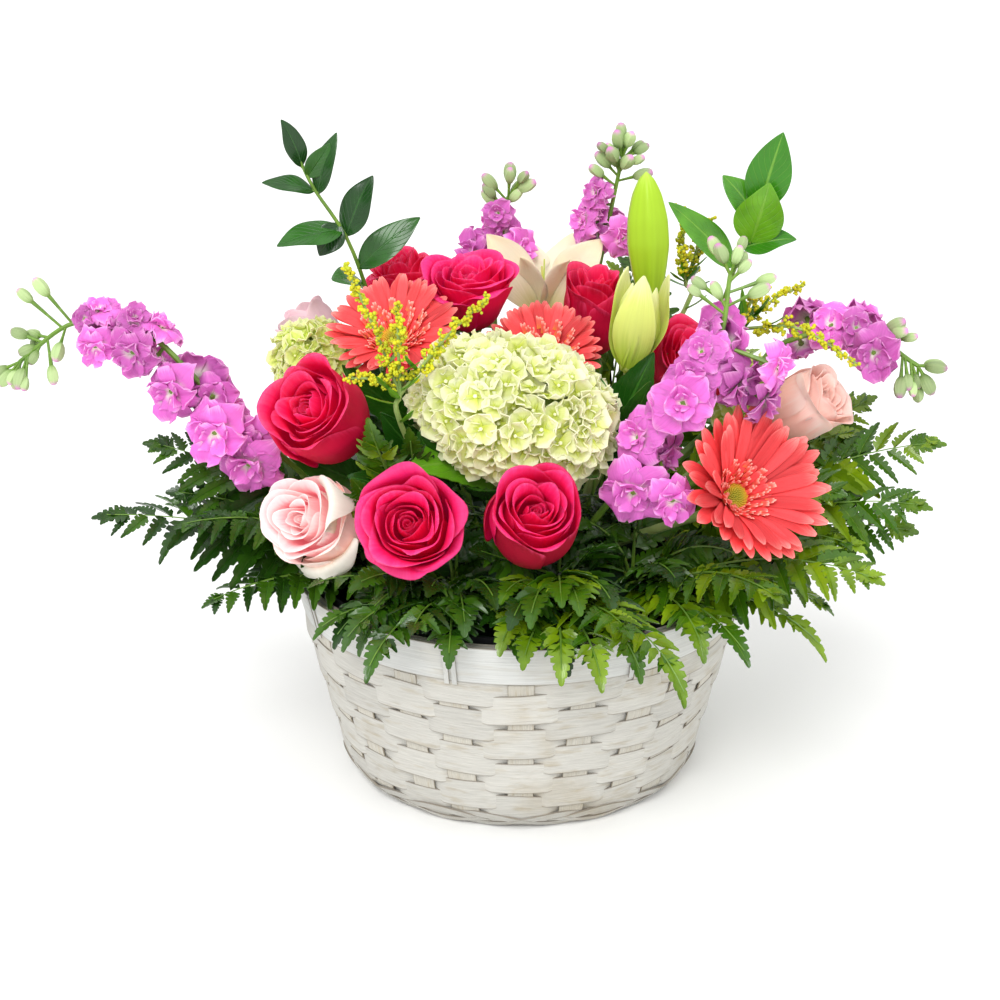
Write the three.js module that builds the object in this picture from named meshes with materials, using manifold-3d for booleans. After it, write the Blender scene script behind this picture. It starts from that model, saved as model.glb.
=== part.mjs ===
// A flower basket arrangement: a round whitewashed chip-wood basket with a plastic liner and a block of
// wet foam, which holds roses, gerberas, hydrangeas, stocks, lilies, ruscus, goldenrod and leatherleaf fern.
// Millimetres. +X is to the right, +Y to the back, +Z up. The origin is the centre of the underside.
import * as THREE from "three";
import { mergeVertices } from "three/addons/utils/BufferGeometryUtils.js";
import Module from "manifold-3d";

const wasm = await Module();
wasm.setup();

// ---------------------------------------------------------------- driving dimensions
const clearance = 0.35; // between neighbouring pieces
const basket = {
  height: 130,
  rimRadius: 140,
  footRadius: 107,
  bandHeight: 24, // the flat hoops round the rim
  bandRadius: 134.5, // outside the hoops' lower edge
  rows: 8, // of woven strips
  stakes: 24,
  weave: 1.3, // how far a strip bulges over a stake
  wall: 4,
  hoop: 1.8,
  slat: 1.2, // the stakes' upper ends between the hoops
  ties: 8,
  floor: 4,
};
const liner = { wall: 1, top: 133 };
const foam = { radius: 80, top: 142, bottom: 0 };
foam.bottom = basket.floor + clearance + liner.wall + clearance;
const root = { depth: 32, fernHeight: 130, fernDepth: 18 };
const green = { deep: "#24561f", fresh: "#4f8f22" };

// ---------------------------------------------------------------- solids
function solidOf(geometry) {
  const bare = geometry.clone();
  bare.deleteAttribute("normal");
  bare.deleteAttribute("uv");
  const merged = mergeVertices(bare, 1e-3);
  const corners = [];
  for (let i = 0; i < merged.index.count; i += 3) {
    const [a, b, c] = merged.index.array.slice(i, i + 3);
    if (a !== b && b !== c && c !== a) corners.push(a, b, c);
  }
  const build = (list) =>
    new wasm.Manifold(
      new wasm.Mesh({
        numProp: 3,
        vertProperties: merged.attributes.position.array,
        triVerts: new Uint32Array(list),
      }),
    );
  const made = build(corners);
  return made.volume() < 0 ? build(corners.reverse()) : made;
}

function geometryOf(solid) {
  const mesh = solid.getMesh();
  const place = new Float32Array(mesh.numVert * 3);
  for (let i = 0; i < mesh.numVert; i++) {
    place.set(mesh.vertProperties.subarray(i * mesh.numProp, i * mesh.numProp + 3), i * 3);
  }
  const geometry = new THREE.BufferGeometry();
  geometry.setAttribute("position", new THREE.BufferAttribute(place, 3));
  geometry.setIndex(new THREE.BufferAttribute(mesh.triVerts, 1));
  return geometry;
}

function fuse(geometries) {
  return geometryOf(geometries.map(solidOf).reduce((all, next) => all.add(next)));
}

// Each vertex of a three.js shape, moved by a formula.
function moved(geometry, formula) {
  const bare = geometry.clone();
  bare.deleteAttribute("normal");
  bare.deleteAttribute("uv");
  const merged = mergeVertices(bare, 1e-3);
  const at = merged.attributes.position;
  const point = new THREE.Vector3();
  for (let i = 0; i < at.count; i++) {
    point.fromBufferAttribute(at, i);
    formula(point);
    at.setXYZ(i, point.x, point.y, point.z);
  }
  return merged;
}

// A solid of revolution about +Z. change(angleIndex, ringIndex, {r, z}) may wave each ring.
function turned(profile, sides, change = () => {}) {
  const rings = profile.map(([r, z]) => new THREE.Vector2(r, z));
  const lathe = new THREE.LatheGeometry(rings, sides);
  const at = lathe.attributes.position;
  for (let i = 0; i < at.count; i++) {
    const ring = i % rings.length;
    const side = Math.floor(i / rings.length) % sides;
    const place = { r: rings[ring].x, z: rings[ring].y };
    if (place.r > 0) change(side, ring, place);
    const angle = (side / sides) * Math.PI * 2;
    at.setXYZ(i, place.r * Math.cos(angle), place.r * Math.sin(angle), place.z);
  }
  return lathe;
}

// ---------------------------------------------------------------- placing
const vec = (place) => new THREE.Vector3(...place);
const radians = THREE.MathUtils.degToRad;

// The way a bloom looks: heading 0 is to the front, 90 to the right; tilt is above the horizon.
function facing([heading, tilt]) {
  const [h, t] = [radians(heading), radians(tilt)];
  return new THREE.Vector3(Math.sin(h) * Math.cos(t), -Math.cos(h) * Math.cos(t), Math.sin(t));
}

// A turned frame: its z is along a direction, and its y is as near the given up as it can be.
function frameAt(place, along, up = new THREE.Vector3(0, 0, 1), spin = 0) {
  const z = along.clone().normalize();
  const x = new THREE.Vector3().crossVectors(up, z);
  if (x.length() < 1e-3) x.set(1, 0, 0);
  x.normalize();
  const y = new THREE.Vector3().crossVectors(z, x);
  const matrix = new THREE.Matrix4().makeBasis(x, y, z).setPosition(place);
  return matrix.multiply(new THREE.Matrix4().makeRotationZ(radians(spin)));
}

const placed = (geometry, matrix) => geometry.clone().applyMatrix4(matrix);

const group = new THREE.Group();
function addPiece(name, geometry, colour, roughness = 0.6) {
  const material = new THREE.MeshStandardMaterial({ color: colour, roughness, metalness: 0 });
  const mesh = new THREE.Mesh(geometryOf(solidOf(geometry)), material);
  mesh.name = name;
  group.add(mesh);
}

// ---------------------------------------------------------------- stems and their holes in the foam
const holes = [];

// A rod through the points, with its radius at each; change(ring, side) may scale one corner of a ring.
function rod(points, radii, sides = 5, change = () => 1) {
  const place = [];
  const faces = [];
  const tangent = (i) => {
    const before = points[Math.max(i - 1, 0)];
    const after = points[Math.min(i + 1, points.length - 1)];
    return after.clone().sub(before).normalize();
  };
  const across = new THREE.Vector3(0.31, 0.87, 0.17);
  points.forEach((point, ring) => {
    const along = tangent(ring);
    across.addScaledVector(along, -across.dot(along)).normalize();
    const over = new THREE.Vector3().crossVectors(along, across);
    for (let side = 0; side < sides; side++) {
      const angle = (side / sides) * Math.PI * 2;
      const reach = radii[ring] * change(ring, side);
      const corner = point.clone().addScaledVector(across, reach * Math.cos(angle));
      place.push(...corner.addScaledVector(over, reach * Math.sin(angle)));
    }
  });
  for (let ring = 0; ring + 1 < points.length; ring++) {
    for (let side = 0; side < sides; side++) {
      const next = (side + 1) % sides;
      const [a, b] = [ring * sides + side, ring * sides + next];
      faces.push(a, b, b + sides, a, b + sides, a + sides);
    }
  }
  const last = (points.length - 1) * sides;
  for (let side = 1; side + 1 < sides; side++) {
    faces.push(0, side + 1, side, last, last + side, last + side + 1);
  }
  const geometry = new THREE.BufferGeometry();
  geometry.setAttribute("position", new THREE.Float32BufferAttribute(place, 3));
  geometry.setIndex(faces);
  return geometry;
}

// Where a stem that comes from a neck above goes into the foam, and where it ends inside.
function rootOf(neck) {
  const out = new THREE.Vector3(neck.x, neck.y, 0);
  const reach = out.length();
  const radius = (foam.radius - 12) * Math.min(1, reach / 150) ** 0.8;
  out.normalize();
  return {
    entry: out.clone().multiplyScalar(radius).setZ(foam.top),
    end: out.clone().multiplyScalar(radius * 0.8).setZ(foam.top - root.depth),
  };
}

function drill(mouth, end, radius) {
  const inward = end.clone().sub(mouth).normalize();
  const from = mouth.clone().addScaledVector(inward, -30);
  const wide = (radius + clearance) * 1.25;
  holes.push(rod([from, end.clone().addScaledVector(inward, 0.6)], [wide, wide]));
}

// The points of a stem from the foam to a bloom's base, which it meets along the bloom's own axis.
function stemTo(base, along, radius, { neck = 22, entry = null } = {}) {
  const bend = base.clone().addScaledVector(along, -neck);
  const foot = rootOf(entry ? vec(entry) : bend);
  const inward = foot.end.clone().sub(foot.entry).normalize();
  drill(foot.entry, foot.end, radius);
  const above = foot.entry.clone().addScaledVector(inward, -5);
  return [foot.end, above, bend, base];
}

// ---------------------------------------------------------------- basket
const wallTop = basket.height - basket.bandHeight;
const wallRadius = (z) =>
  basket.footRadius + ((basket.bandRadius - basket.footRadius) * Math.min(z, wallTop)) / wallTop;
const rimSlope = (basket.rimRadius - basket.bandRadius) / basket.bandHeight;
const bandRadius = (z) => basket.bandRadius + rimSlope * (z - wallTop);

// The woven wall: each row's strips bulge over one stake and pass behind the next.
function wovenWall() {
  const sides = basket.stakes * 2;
  const rowHeight = (wallTop - 1) / basket.rows;
  const slatOut = -basket.hoop - clearance;
  const profile = [];
  for (let i = 0; i <= basket.rows * 2; i++) {
    const z = (i * rowHeight) / 2;
    profile.push([wallRadius(z) - (i % 2 ? 0 : 0.9), z]);
  }
  profile.push([bandRadius(wallTop) + slatOut, wallTop - 0.5]);
  profile.push([bandRadius(basket.height - 2) + slatOut, basket.height - 2]);
  profile.push([bandRadius(basket.height - 2) + slatOut - basket.slat, basket.height - 2]);
  profile.push([bandRadius(wallTop) + slatOut - basket.slat, wallTop - 0.5]);
  profile.push([wallRadius(wallTop) - basket.wall, wallTop - 4]);
  profile.push([wallRadius(0) - basket.wall, 0]);
  profile.push(profile[0]);
  return turned(profile, sides, (side, ring, place) => {
    if (ring >= basket.rows * 2 || ring % 2 === 0) return;
    const over = (ring - 1) % 4 === 0 ? 1 : -1;
    place.r += over * basket.weave * Math.cos((side * Math.PI) / 2);
  });
}

function hoop(outside, thick, low, high, sides) {
  const profile = [
    [outside(low), low],
    [outside(high), high],
    [outside(high) - thick, high],
    [outside(low) - thick, low],
  ];
  return turned([...profile, profile[0]], sides);
}

// The outer hoop with its pairs of narrow binding strips.
function outerHoop() {
  const band = hoop(bandRadius, basket.hoop, wallTop, basket.height, basket.stakes * 2);
  const strips = [];
  for (let i = 0; i < basket.ties; i++) {
    const strip = new THREE.BoxGeometry(1.6, 8, basket.bandHeight - 0.6);
    strip.applyMatrix4(new THREE.Matrix4().makeRotationY(Math.atan(rimSlope)));
    strip.translate(bandRadius(wallTop + basket.bandHeight / 2) - 0.2, 0, wallTop + basket.bandHeight / 2);
    strip.rotateZ(((i + 0.62) / basket.ties) * Math.PI * 2);
    strips.push(strip);
  }
  return fuse([band, ...strips]);
}

function basketFloor() {
  const edge = basket.footRadius - basket.wall - clearance;
  return turned([[0, 0], [edge - 1, 0], [edge, 1], [edge, basket.floor], [0, basket.floor]], 24);
}

function linerTub() {
  const low = basket.floor + clearance;
  const inside = bandRadius(basket.height) - 2 * basket.hoop - basket.slat - 3 * clearance;
  const foot = basket.footRadius - basket.wall - clearance - 1;
  const profile = [
    [0, low],
    [foot, low],
    [inside - 1.6, liner.top],
    [inside - liner.wall - 1.6, liner.top],
    [foot - liner.wall, low + liner.wall],
    [0, low + liner.wall],
  ];
  return turned(profile, 32);
}

// ---------------------------------------------------------------- roses
// One turned form of nested whorls: each ring of petals steps where one petal laps over the next.
const whorlRings = [
  [0, 0.86], [0.1, 0.93], [0.2, 0.72], [0.34, 0.98], [0.46, 0.66], [0.66, 0.95],
  [0.74, 0.58], [1, 0.84], [0.88, 0.42], [0.3, 0], [0, 0],
];

function roseHead({ width, height, open = 1, petals = 5 }) {
  const lapPhase = [0, 0, 0.2, 0.2, 0.6, 0.6, 0.1, 0.1, 0.1, 0, 0];
  const rim = [0, 0, 0, 1, 0, 1, 0, 1, 0, 0, 0];
  const profile = whorlRings.map(([r, z], i) => [(width / 2) * r * (i > 6 ? open : 1), height * z]);
  return turned(profile, petals * 3, (side, ring, place) => {
    if (ring < 2 || ring > 8) return;
    const share = (side / 3 + lapPhase[ring]) % 1;
    place.r *= 1 + 0.1 * (share - 0.5);
    place.z -= rim[ring] * height * 0.14 * (2 * share - 1) ** 2;
  });
}

// A stem that swells into a hip with pointed sepals, which turn down.
function hipStem(stem, along, radius) {
  const seat = stem[stem.length - 1];
  const up = (by) => seat.clone().addScaledVector(along, by);
  const points = [...stem, up(4), up(9)];
  const radii = [...stem.map(() => radius), 12, 6.5];
  return rod(points, radii, 6, (ring, side) => (ring === stem.length && side % 2 ? 0.5 : 1));
}

function addRose(name, { at, look, colour, entry, ...size }) {
  const along = facing(look);
  const base = vec(at).addScaledVector(along, -size.height / 2);
  const turn = frameAt(base, along, undefined, at[0]);
  addPiece(`${name}_bloom`, placed(roseHead(size), turn), colour);
  const seat = base.clone().addScaledVector(along, -9 - clearance);
  addPiece(`${name}_stem`, hipStem(stemTo(seat, along, 2.6, { neck: 12, entry }), along, 2.6), green.fresh);
}

// ---------------------------------------------------------------- gerberas
// A cupped daisy: an outer and an inner ring of narrow rays round a low disc.
function gerberaHead({ ray, cup }) {
  const rays = 16;
  const disc = 9;
  const profile = [
    [0, 3], [disc, 2.4], [ray * 0.55, 5], [ray * 0.36, 1], [ray, 0], [ray * 0.45, -1.6], [5.5, -7], [0, -7],
  ];
  const lift = radians(cup);
  return turned(profile, rays * 2, (side, ring, place) => {
    if (ring === 2 && side % 2) place.r *= 0.62;
    if (ring === 4 && side % 2 === 0) place.r *= 0.62;
    if (ring > 1 && ring < 6) {
      const out = place.r - disc;
      place.r = disc + out * Math.cos(lift);
      place.z += out * Math.sin(lift);
    }
  });
}

function addGerbera(name, { at, look, ray, cup, colour, entry }) {
  const along = facing(look);
  const disc = vec(at);
  addPiece(`${name}_rays`, placed(gerberaHead({ ray, cup }), frameAt(disc, along)), colour);
  const seat = disc.clone().addScaledVector(along, -7 - clearance);
  const stem = stemTo(seat.clone().addScaledVector(along, -5), along, 2.8, { neck: 20, entry });
  addPiece(`${name}_stem`, rod([...stem, seat], [...stem.map(() => 2.8), 5], 6), green.fresh);
}

// ---------------------------------------------------------------- hydrangeas
function floret(radius) {
  return turned([[0, 0.8], [radius, 3], [0, -9]], 8, (side, ring, place) => {
    if (side % 2) place.r *= 0.62;
  });
}

// A dome of four-petalled florets on a smaller core.
function hydrangeaHead({ wide, deep, tall, florets, floretRadius }) {
  const core = new THREE.SphereGeometry(1, 8, 5).rotateX(Math.PI / 2);
  core.scale(wide - 7, deep - 7, tall - 7);
  const pieces = [core];
  const golden = Math.PI * (3 - Math.sqrt(5));
  for (let i = 0; i < florets; i++) {
    const z = 1 - (1.55 * (i + 0.5)) / florets;
    const r = Math.sqrt(1 - z * z);
    const out = new THREE.Vector3(r * Math.cos(golden * i), r * Math.sin(golden * i), z);
    const place = new THREE.Vector3(out.x * (wide - 3), out.y * (deep - 3), out.z * (tall - 3));
    const normal = new THREE.Vector3(out.x / wide, out.y / deep, out.z / tall);
    pieces.push(placed(floret(floretRadius), frameAt(place, normal, undefined, i * 37)));
  }
  return fuse(pieces);
}

function addHydrangea(name, { at, look, roll = 0, leaves = [], entry, ...size }) {
  const along = facing(look);
  const centre = vec(at);
  const turn = frameAt(centre, along, undefined, roll);
  addPiece(`${name}_florets`, placed(hydrangeaHead(size), turn), "#e3ecb4");
  const seat = centre.clone().addScaledVector(along, -(size.tall - 7) - clearance - 0.6);
  const stem = stemTo(seat.clone().addScaledVector(along, -5), along, 3, { neck: 10, entry });
  const stalk = rod([...stem, seat], [...stem.map(() => 3), 6], 6);
  addPiece(`${name}_stem`, fuse([stalk, ...leaves]), green.fresh);
}

// ---------------------------------------------------------------- leaves
// A pointed leaf from its base to its tip, with a folded midrib; up is the way its upper face looks.
function leafBetween(base, tip, width, up, { thick = 1.2, arch = 0.08, segments = 4 } = {}) {
  const from = vec(base);
  const along = vec(tip).sub(from);
  const length = along.length();
  const shape = moved(new THREE.SphereGeometry(1, 4, segments), (p) => {
    const share = Math.acos(THREE.MathUtils.clamp(p.y, -1, 1)) / Math.PI;
    const swell = Math.sin(Math.PI * share ** 0.85);
    const ring = Math.hypot(p.x, p.z) || 1;
    const [across, over] = [p.x / ring, p.z / ring];
    const wide = Math.abs(p.y) > 0.999 ? 0 : swell;
    const fold = Math.abs(across) * wide * width * 0.1;
    const raised = arch * length * 4 * share * (1 - share);
    p.set((across * wide * width) / 2, over * wide * thick + fold + raised, length * share);
  });
  return placed(shape, frameAt(from, along, vec(up)));
}

// A saw-edged leaf cut from a plate, bent down from its base to its tip.
function sawLeaf(base, tip, width, up, { thick = 1.2, teeth = 5, bend = 0.15 } = {}) {
  const from = vec(base);
  const along = vec(tip).sub(from);
  const length = along.length();
  const half = (share) => (width / 2) * Math.sin(Math.PI * share ** 0.8);
  const edge = [];
  for (let i = 0; i < teeth; i++) {
    const [near, far] = [(i + 0.25) / teeth, (i + 0.85) / teeth];
    edge.push([length * near, half(near) * 0.9 + 1], [length * far, half(far) + 1.6]);
  }
  const outline = new THREE.Shape();
  outline.moveTo(0, -1);
  edge.forEach(([x, y]) => outline.lineTo(x, -y));
  outline.lineTo(length, 0);
  [...edge].reverse().forEach(([x, y]) => outline.lineTo(x, y));
  outline.lineTo(0, 1);
  const plate = new THREE.ExtrudeGeometry(outline, { depth: thick, bevelEnabled: false });
  const shaped = moved(plate, (p) => {
    const share = p.x / length;
    p.set(p.y, p.z + length * bend * 4 * share * (1 - share) + Math.abs(p.y) * 0.15, p.x);
  });
  return placed(shaped, frameAt(from, along, vec(up)));
}

// ---------------------------------------------------------------- stocks
// A ruffled trumpet from its foot on the stem to its open mouth.
function stockFloret(foot, mouth, radius) {
  const along = mouth.clone().sub(foot);
  const length = along.length();
  const form = turned([[0, -1], [radius, 3], [0, -length - 1]], 8, (side, ring, place) => {
    place.r *= side % 2 ? 0.78 : 1;
    place.z += side % 4 === 0 ? 4 : 0;
  });
  return placed(form, frameAt(mouth, along, undefined, radius * 57));
}

function bud(foot, tip, width) {
  const points = [0, 0.45, 0.75, 1].map((share) => foot.clone().lerp(tip, share));
  return rod(points, [1, 1.1, width / 2, 0.4], 4);
}

// A stem with open florets along it and buds towards its tip.
function addStock(name, { path, florets, buds, entry, radius = 2.4 }) {
  const line = path.map(vec);
  const curve = new THREE.CatmullRomCurve3(line);
  const along = curve.getTangent(0);
  const foot = stemTo(line[0], along, radius, { neck: 8, entry });
  const bends = curve.getPoints(path.length).slice(1);
  const points = [...foot, ...bends];
  const radii = points.map((point, i) => radius * (1 - 0.5 * Math.max(0, (i - 3) / bends.length)));
  const pieces = [rod(points, radii)];
  const fine = points.slice(3).flatMap((point, i, all) => {
    const next = all[Math.min(i + 1, all.length - 1)];
    return [0, 0.25, 0.5, 0.75].map((share) => point.clone().lerp(next, share));
  });
  const nearest = (place) => fine.reduce((a, b) => (a.distanceTo(place) < b.distanceTo(place) ? a : b));
  for (const [x, y, z, r] of florets) {
    const mouth = new THREE.Vector3(x, y, z);
    pieces.push(stockFloret(nearest(mouth), mouth, r));
  }
  for (const [x, y, z, width = 7] of buds) {
    const tip = new THREE.Vector3(x, y, z);
    pieces.push(bud(nearest(tip), tip, width));
  }
  addPiece(name, fuse(pieces), "#cf6ccb");
}

// ---------------------------------------------------------------- lilies
// Six pointed tepals that spread from a short tube. Each tip is measured from the tube's foot.
function openLily(foot, tips) {
  const throat = turned([[0, -2], [4, -2], [6.5, 12], [0, 12]], 6).translate(...foot);
  const tepals = tips.map((tip) => {
    const [end, start] = [vec(foot).add(vec(tip)), vec(foot).add(new THREE.Vector3(0, 0, 3))];
    const inward = [-tip[0], -tip[1], 30];
    return leafBetween(start.toArray(), end.toArray(), 27, inward, { thick: 1.3, arch: -0.08, segments: 3 });
  });
  return fuse([throat, ...tepals]);
}

// A closed bud with six ribs.
function lilyBud({ length, width }) {
  const profile = [[0, 0], [0.22, 0], [0.42, 0.2], [0.5, 0.42], [0.42, 0.68], [0.2, 0.92], [0, 1]];
  const rings = profile.map(([r, z]) => [r * width, z * length]);
  return turned(rings, 12, (side, ring, place) => {
    if (side % 2) place.r *= 0.9;
  });
}

// A bud whose tepals have begun to part at the tip.
function partingLily({ length, width }) {
  const profile = [
    [0, 0], [0.2, 0], [0.4, 0.25], [0.5, 0.6], [0.46, 1], [0.36, 0.96], [0.3, 0.6], [0, 0.5],
  ];
  const rings = profile.map(([r, z]) => [r * width, z * length]);
  return turned(rings, 12, (side, ring, place) => {
    if (ring === 4 || ring === 5) place.z -= side % 2 ? length * 0.26 : 0;
    if (side % 2) place.r *= 0.9;
  });
}

// ---------------------------------------------------------------- goldenrod
// A plume: a thin branch with a lumpy sleeve of tiny heads that tapers to the tip.
function plume(start, end, sag, width) {
  const middle = start.clone().lerp(end, 0.5).add(new THREE.Vector3(0, 0, sag));
  const rings = 6;
  const points = new THREE.CatmullRomCurve3([start, middle, end]).getPoints(rings);
  const radii = points.map((point, ring) => {
    const taper = Math.min(1, 0.2 + ring * 0.4) * (1.15 - ring / rings);
    return 0.5 + (width / 2) * taper * (ring % 2 ? 1 : 0.5);
  });
  return rod(points, radii, 4);
}

function addGoldenrod(name, { fork, entry, neck = 16, plumes }) {
  const seat = vec(fork);
  const stem = stemTo(seat, new THREE.Vector3(0, 0, 1), 1.6, { neck, entry });
  const pieces = [rod(stem, stem.map(() => 1.6), 4)];
  for (const { from = fork, to, sag = 4, width = 9 } of plumes) {
    pieces.push(plume(vec(from), vec(to), sag, width));
  }
  addPiece(name, fuse(pieces), "#c9c51e");
}

// ---------------------------------------------------------------- ferns
// One half of a frond's saw-like edge, from its base to its tip: [along, across].
function frondEdge({ length, width, stalk, pairs, gap = 90 }) {
  const edge = [];
  for (let i = 0; i < pairs; i++) {
    const share = i / pairs;
    const near = stalk + (length - stalk) * share;
    const full = (width / 2) * (1 - share) ** 0.75 * Math.min(1, 0.62 + share * 2.2);
    const out = Math.min(Math.max(full, 4), (near + full * 0.45) * Math.tan(radians(gap * 0.46)));
    edge.push([near, 1.3 + out * 0.16], [near + out * 0.45, out]);
  }
  return edge;
}

// A plate with a blade for each lobe, which are set round the stalk like the fingers of a hand.
function lobedPlate(lobes, thick) {
  const corners = [];
  lobes.forEach(({ turn = 0, ...lobe }, i) => {
    const gap = lobes.length > 1 ? Math.abs((lobes[i + 1] ?? lobes[i - 1]).turn - turn) : 90;
    const edge = frondEdge({ pairs: 6, ...lobe, gap });
    const tip = [[lobe.length + 2, 0]];
    const round = [...edge.map(([x, y]) => [x, -y]), ...tip, ...[...edge].reverse()];
    const [c, s] = [Math.cos(radians(turn)), Math.sin(radians(turn))];
    corners.push(...round.map(([x, y]) => [x * c - y * s, x * s + y * c]));
  });
  const outline = new THREE.Shape();
  outline.moveTo(-1, -1.3);
  corners.forEach(([x, y]) => outline.lineTo(x, y));
  outline.lineTo(-1, 1.3);
  return new THREE.ExtrudeGeometry(outline, { depth: thick, bevelEnabled: false });
}

// Bends a plate along an arc: it rises straight for a while, then droops. A lone frond may roll about
// its rib; the fingers of a lobed plate each go their own way from the stalk.
function arched(plate, { lift, droop, hold, reach, thick, roll = 0, lobed }) {
  const rise = radians(lift);
  const bend = radians(droop) / (reach - hold);
  const lean = radians(roll);
  return moved(plate, (p) => {
    const out = lobed ? Math.hypot(p.x, p.y) * Math.sign(p.x) : p.x;
    const side = lobed ? 0 : p.y;
    const angle = rise - bend * Math.max(0, out - hold);
    const held = Math.min(out, hold);
    const over = (p.z - thick / 2) * Math.cos(lean) + side * Math.sin(lean) - (side * side) / 260;
    const across = side * Math.cos(lean) - (p.z - thick / 2) * Math.sin(lean);
    const far = held * Math.cos(rise) + (Math.sin(rise) - Math.sin(angle)) / bend - over * Math.sin(angle);
    const high = held * Math.sin(rise) + (Math.cos(angle) - Math.cos(rise)) / bend + over * Math.cos(angle);
    const [c, s] = lobed && out ? [p.x / out, p.y / out] : [1, 0];
    p.set(far * c, far * s + across, high);
  });
}

// Fronds that share one cut stalk in the side of the foam. Turn 0 is along the stalk's own bearing.
function addFern(name, { bearing, height = root.fernHeight, fronds }) {
  const thick = 1.2;
  const out = new THREE.Vector3(Math.cos(radians(bearing)), Math.sin(radians(bearing)), 0);
  const mouth = out.clone().multiplyScalar(foam.radius + 4).setZ(height + 2);
  const end = out.clone().multiplyScalar(foam.radius - root.fernDepth).setZ(height - 6);
  const inward = end.clone().sub(mouth).normalize();
  drill(mouth, end, 2.2);
  const pieces = [rod([end, mouth.clone().addScaledVector(inward, -3)], [2.2, 2.2])];
  for (const { turn = 0, lobes, lift, droop, hold, roll, ...blade } of fronds) {
    const plate = lobedPlate(lobes ?? [blade], thick);
    const reach = Math.max(...(lobes ?? [blade]).map(({ length }) => length));
    const shape = arched(plate, { lift, droop, hold, reach, thick, roll, lobed: Boolean(lobes) });
    shape.rotateZ(radians(bearing + turn));
    shape.translate(mouth.x, mouth.y, mouth.z);
    pieces.push(shape);
  }
  addPiece(name, fuse(pieces), green.deep);
}

// ---------------------------------------------------------------- leafy branches
function addBranch(name, { path, leaves, entry, colour, radius = 1.8 }) {
  const points = path.map(vec);
  const along = points[1].clone().sub(points[0]).normalize();
  const stem = stemTo(points[0], along, radius, { neck: 10, entry });
  const pieces = [rod([...stem, ...points.slice(1)], [...stem, ...points.slice(1)].map(() => radius))];
  for (const [base, tip, width, up] of leaves) pieces.push(leafBetween(base, tip, width, up));
  addPiece(name, fuse(pieces), colour, 0.35);
}

// ================================================================ the basket, its liner and the foam
addPiece("basket_wall", wovenWall(), "#e9e4da", 0.8);
addPiece("basket_base", basketFloor(), "#d8d0c2", 0.85);
addPiece("rim_band_outer", outerHoop(), "#efece4", 0.75);
const innerOutside = (z) => bandRadius(z) - basket.hoop - basket.slat - 2 * clearance;
const innerHoop = hoop(innerOutside, basket.hoop, wallTop, basket.height, basket.stakes);
addPiece("rim_band_inner", innerHoop, "#e6e1d6", 0.75);
addPiece("liner", linerTub(), "#1b1c1d", 0.4);

// ================================================================ roses
addRose("rose_blush", {
  at: [-117, -76, 181], look: [-35, 30],
  width: 58, height: 52, open: 1.08, colour: "#f6d3cd",
});
addRose("rose_pink_left", {
  at: [-59, -115, 193], look: [-8, 30],
  width: 64, height: 50, colour: "#e8286c",
});
addRose("rose_pink_right", {
  at: [6, -116, 197], look: [5, 42],
  width: 57, height: 50, colour: "#d81b50",
});
addRose("rose_crimson_left", {
  at: [-114, -62, 239], look: [-25, 35],
  width: 60, height: 52, colour: "#e01f4c",
});
addRose("rose_pink_top", {
  at: [-30, 23, 291], look: [0, 66],
  width: 58, height: 42, colour: "#ee3f6b",
});
addRose("rose_crimson_back", {
  at: [-70, 49, 288], look: [-60, 70],
  width: 44, height: 44, petals: 4, colour: "#cf1a3f",
});
addRose("rose_crimson_centre", {
  at: [45, 40, 276], look: [20, 72],
  width: 46, height: 52, entry: [30, 30, 160], petals: 4, colour: "#d81f45",
});
addRose("rose_crimson_right", {
  at: [101, 5, 250], look: [10, 45],
  width: 54, height: 50, petals: 4, colour: "#d01a3c",
});
addRose("rose_peach", {
  at: [166, -26, 236], look: [60, 35],
  width: 46, height: 42, open: 1.1, petals: 4, colour: "#f2b3a0",
});
addRose("rose_mauve", {
  at: [-128, 56, 254], look: [-130, 50],
  width: 44, height: 42, petals: 4, colour: "#c9a3ad",
});

// ================================================================ gerberas
addGerbera("gerbera_left", {
  at: [-74, -12, 272], look: [-3, 55],
  ray: 42, cup: 28, colour: "#f4735c",
});
addGerbera("gerbera_centre", {
  at: [14, 2, 257], look: [0, 52],
  ray: 38, cup: 30, colour: "#f4735c",
});
addGerbera("gerbera_right", {
  at: [119, -86, 200], look: [30, 25],
  ray: 55, cup: 40, colour: "#f36e57",
});

// ================================================================ hydrangeas
const frontLeaf = sawLeaf([-2, -18, 196], [-58, -90, 208], 32, [0.3, -0.5, 1], { bend: -0.06 });
addHydrangea("hydrangea_front", {
  at: [-4, -62, 244], look: [0, 32], roll: -18, leaves: [frontLeaf],
  wide: 58, deep: 41, tall: 38, florets: 23, floretRadius: 14,
});
addHydrangea("hydrangea_left", {
  at: [-124, 2, 256], look: [-40, 60], wide: 27, deep: 25, tall: 24, florets: 9, floretRadius: 12.5,
});
addHydrangea("hydrangea_right", {
  at: [141, 26, 227], look: [45, 45], wide: 26, deep: 25, tall: 24, florets: 9, floretRadius: 12.5,
});

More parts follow.
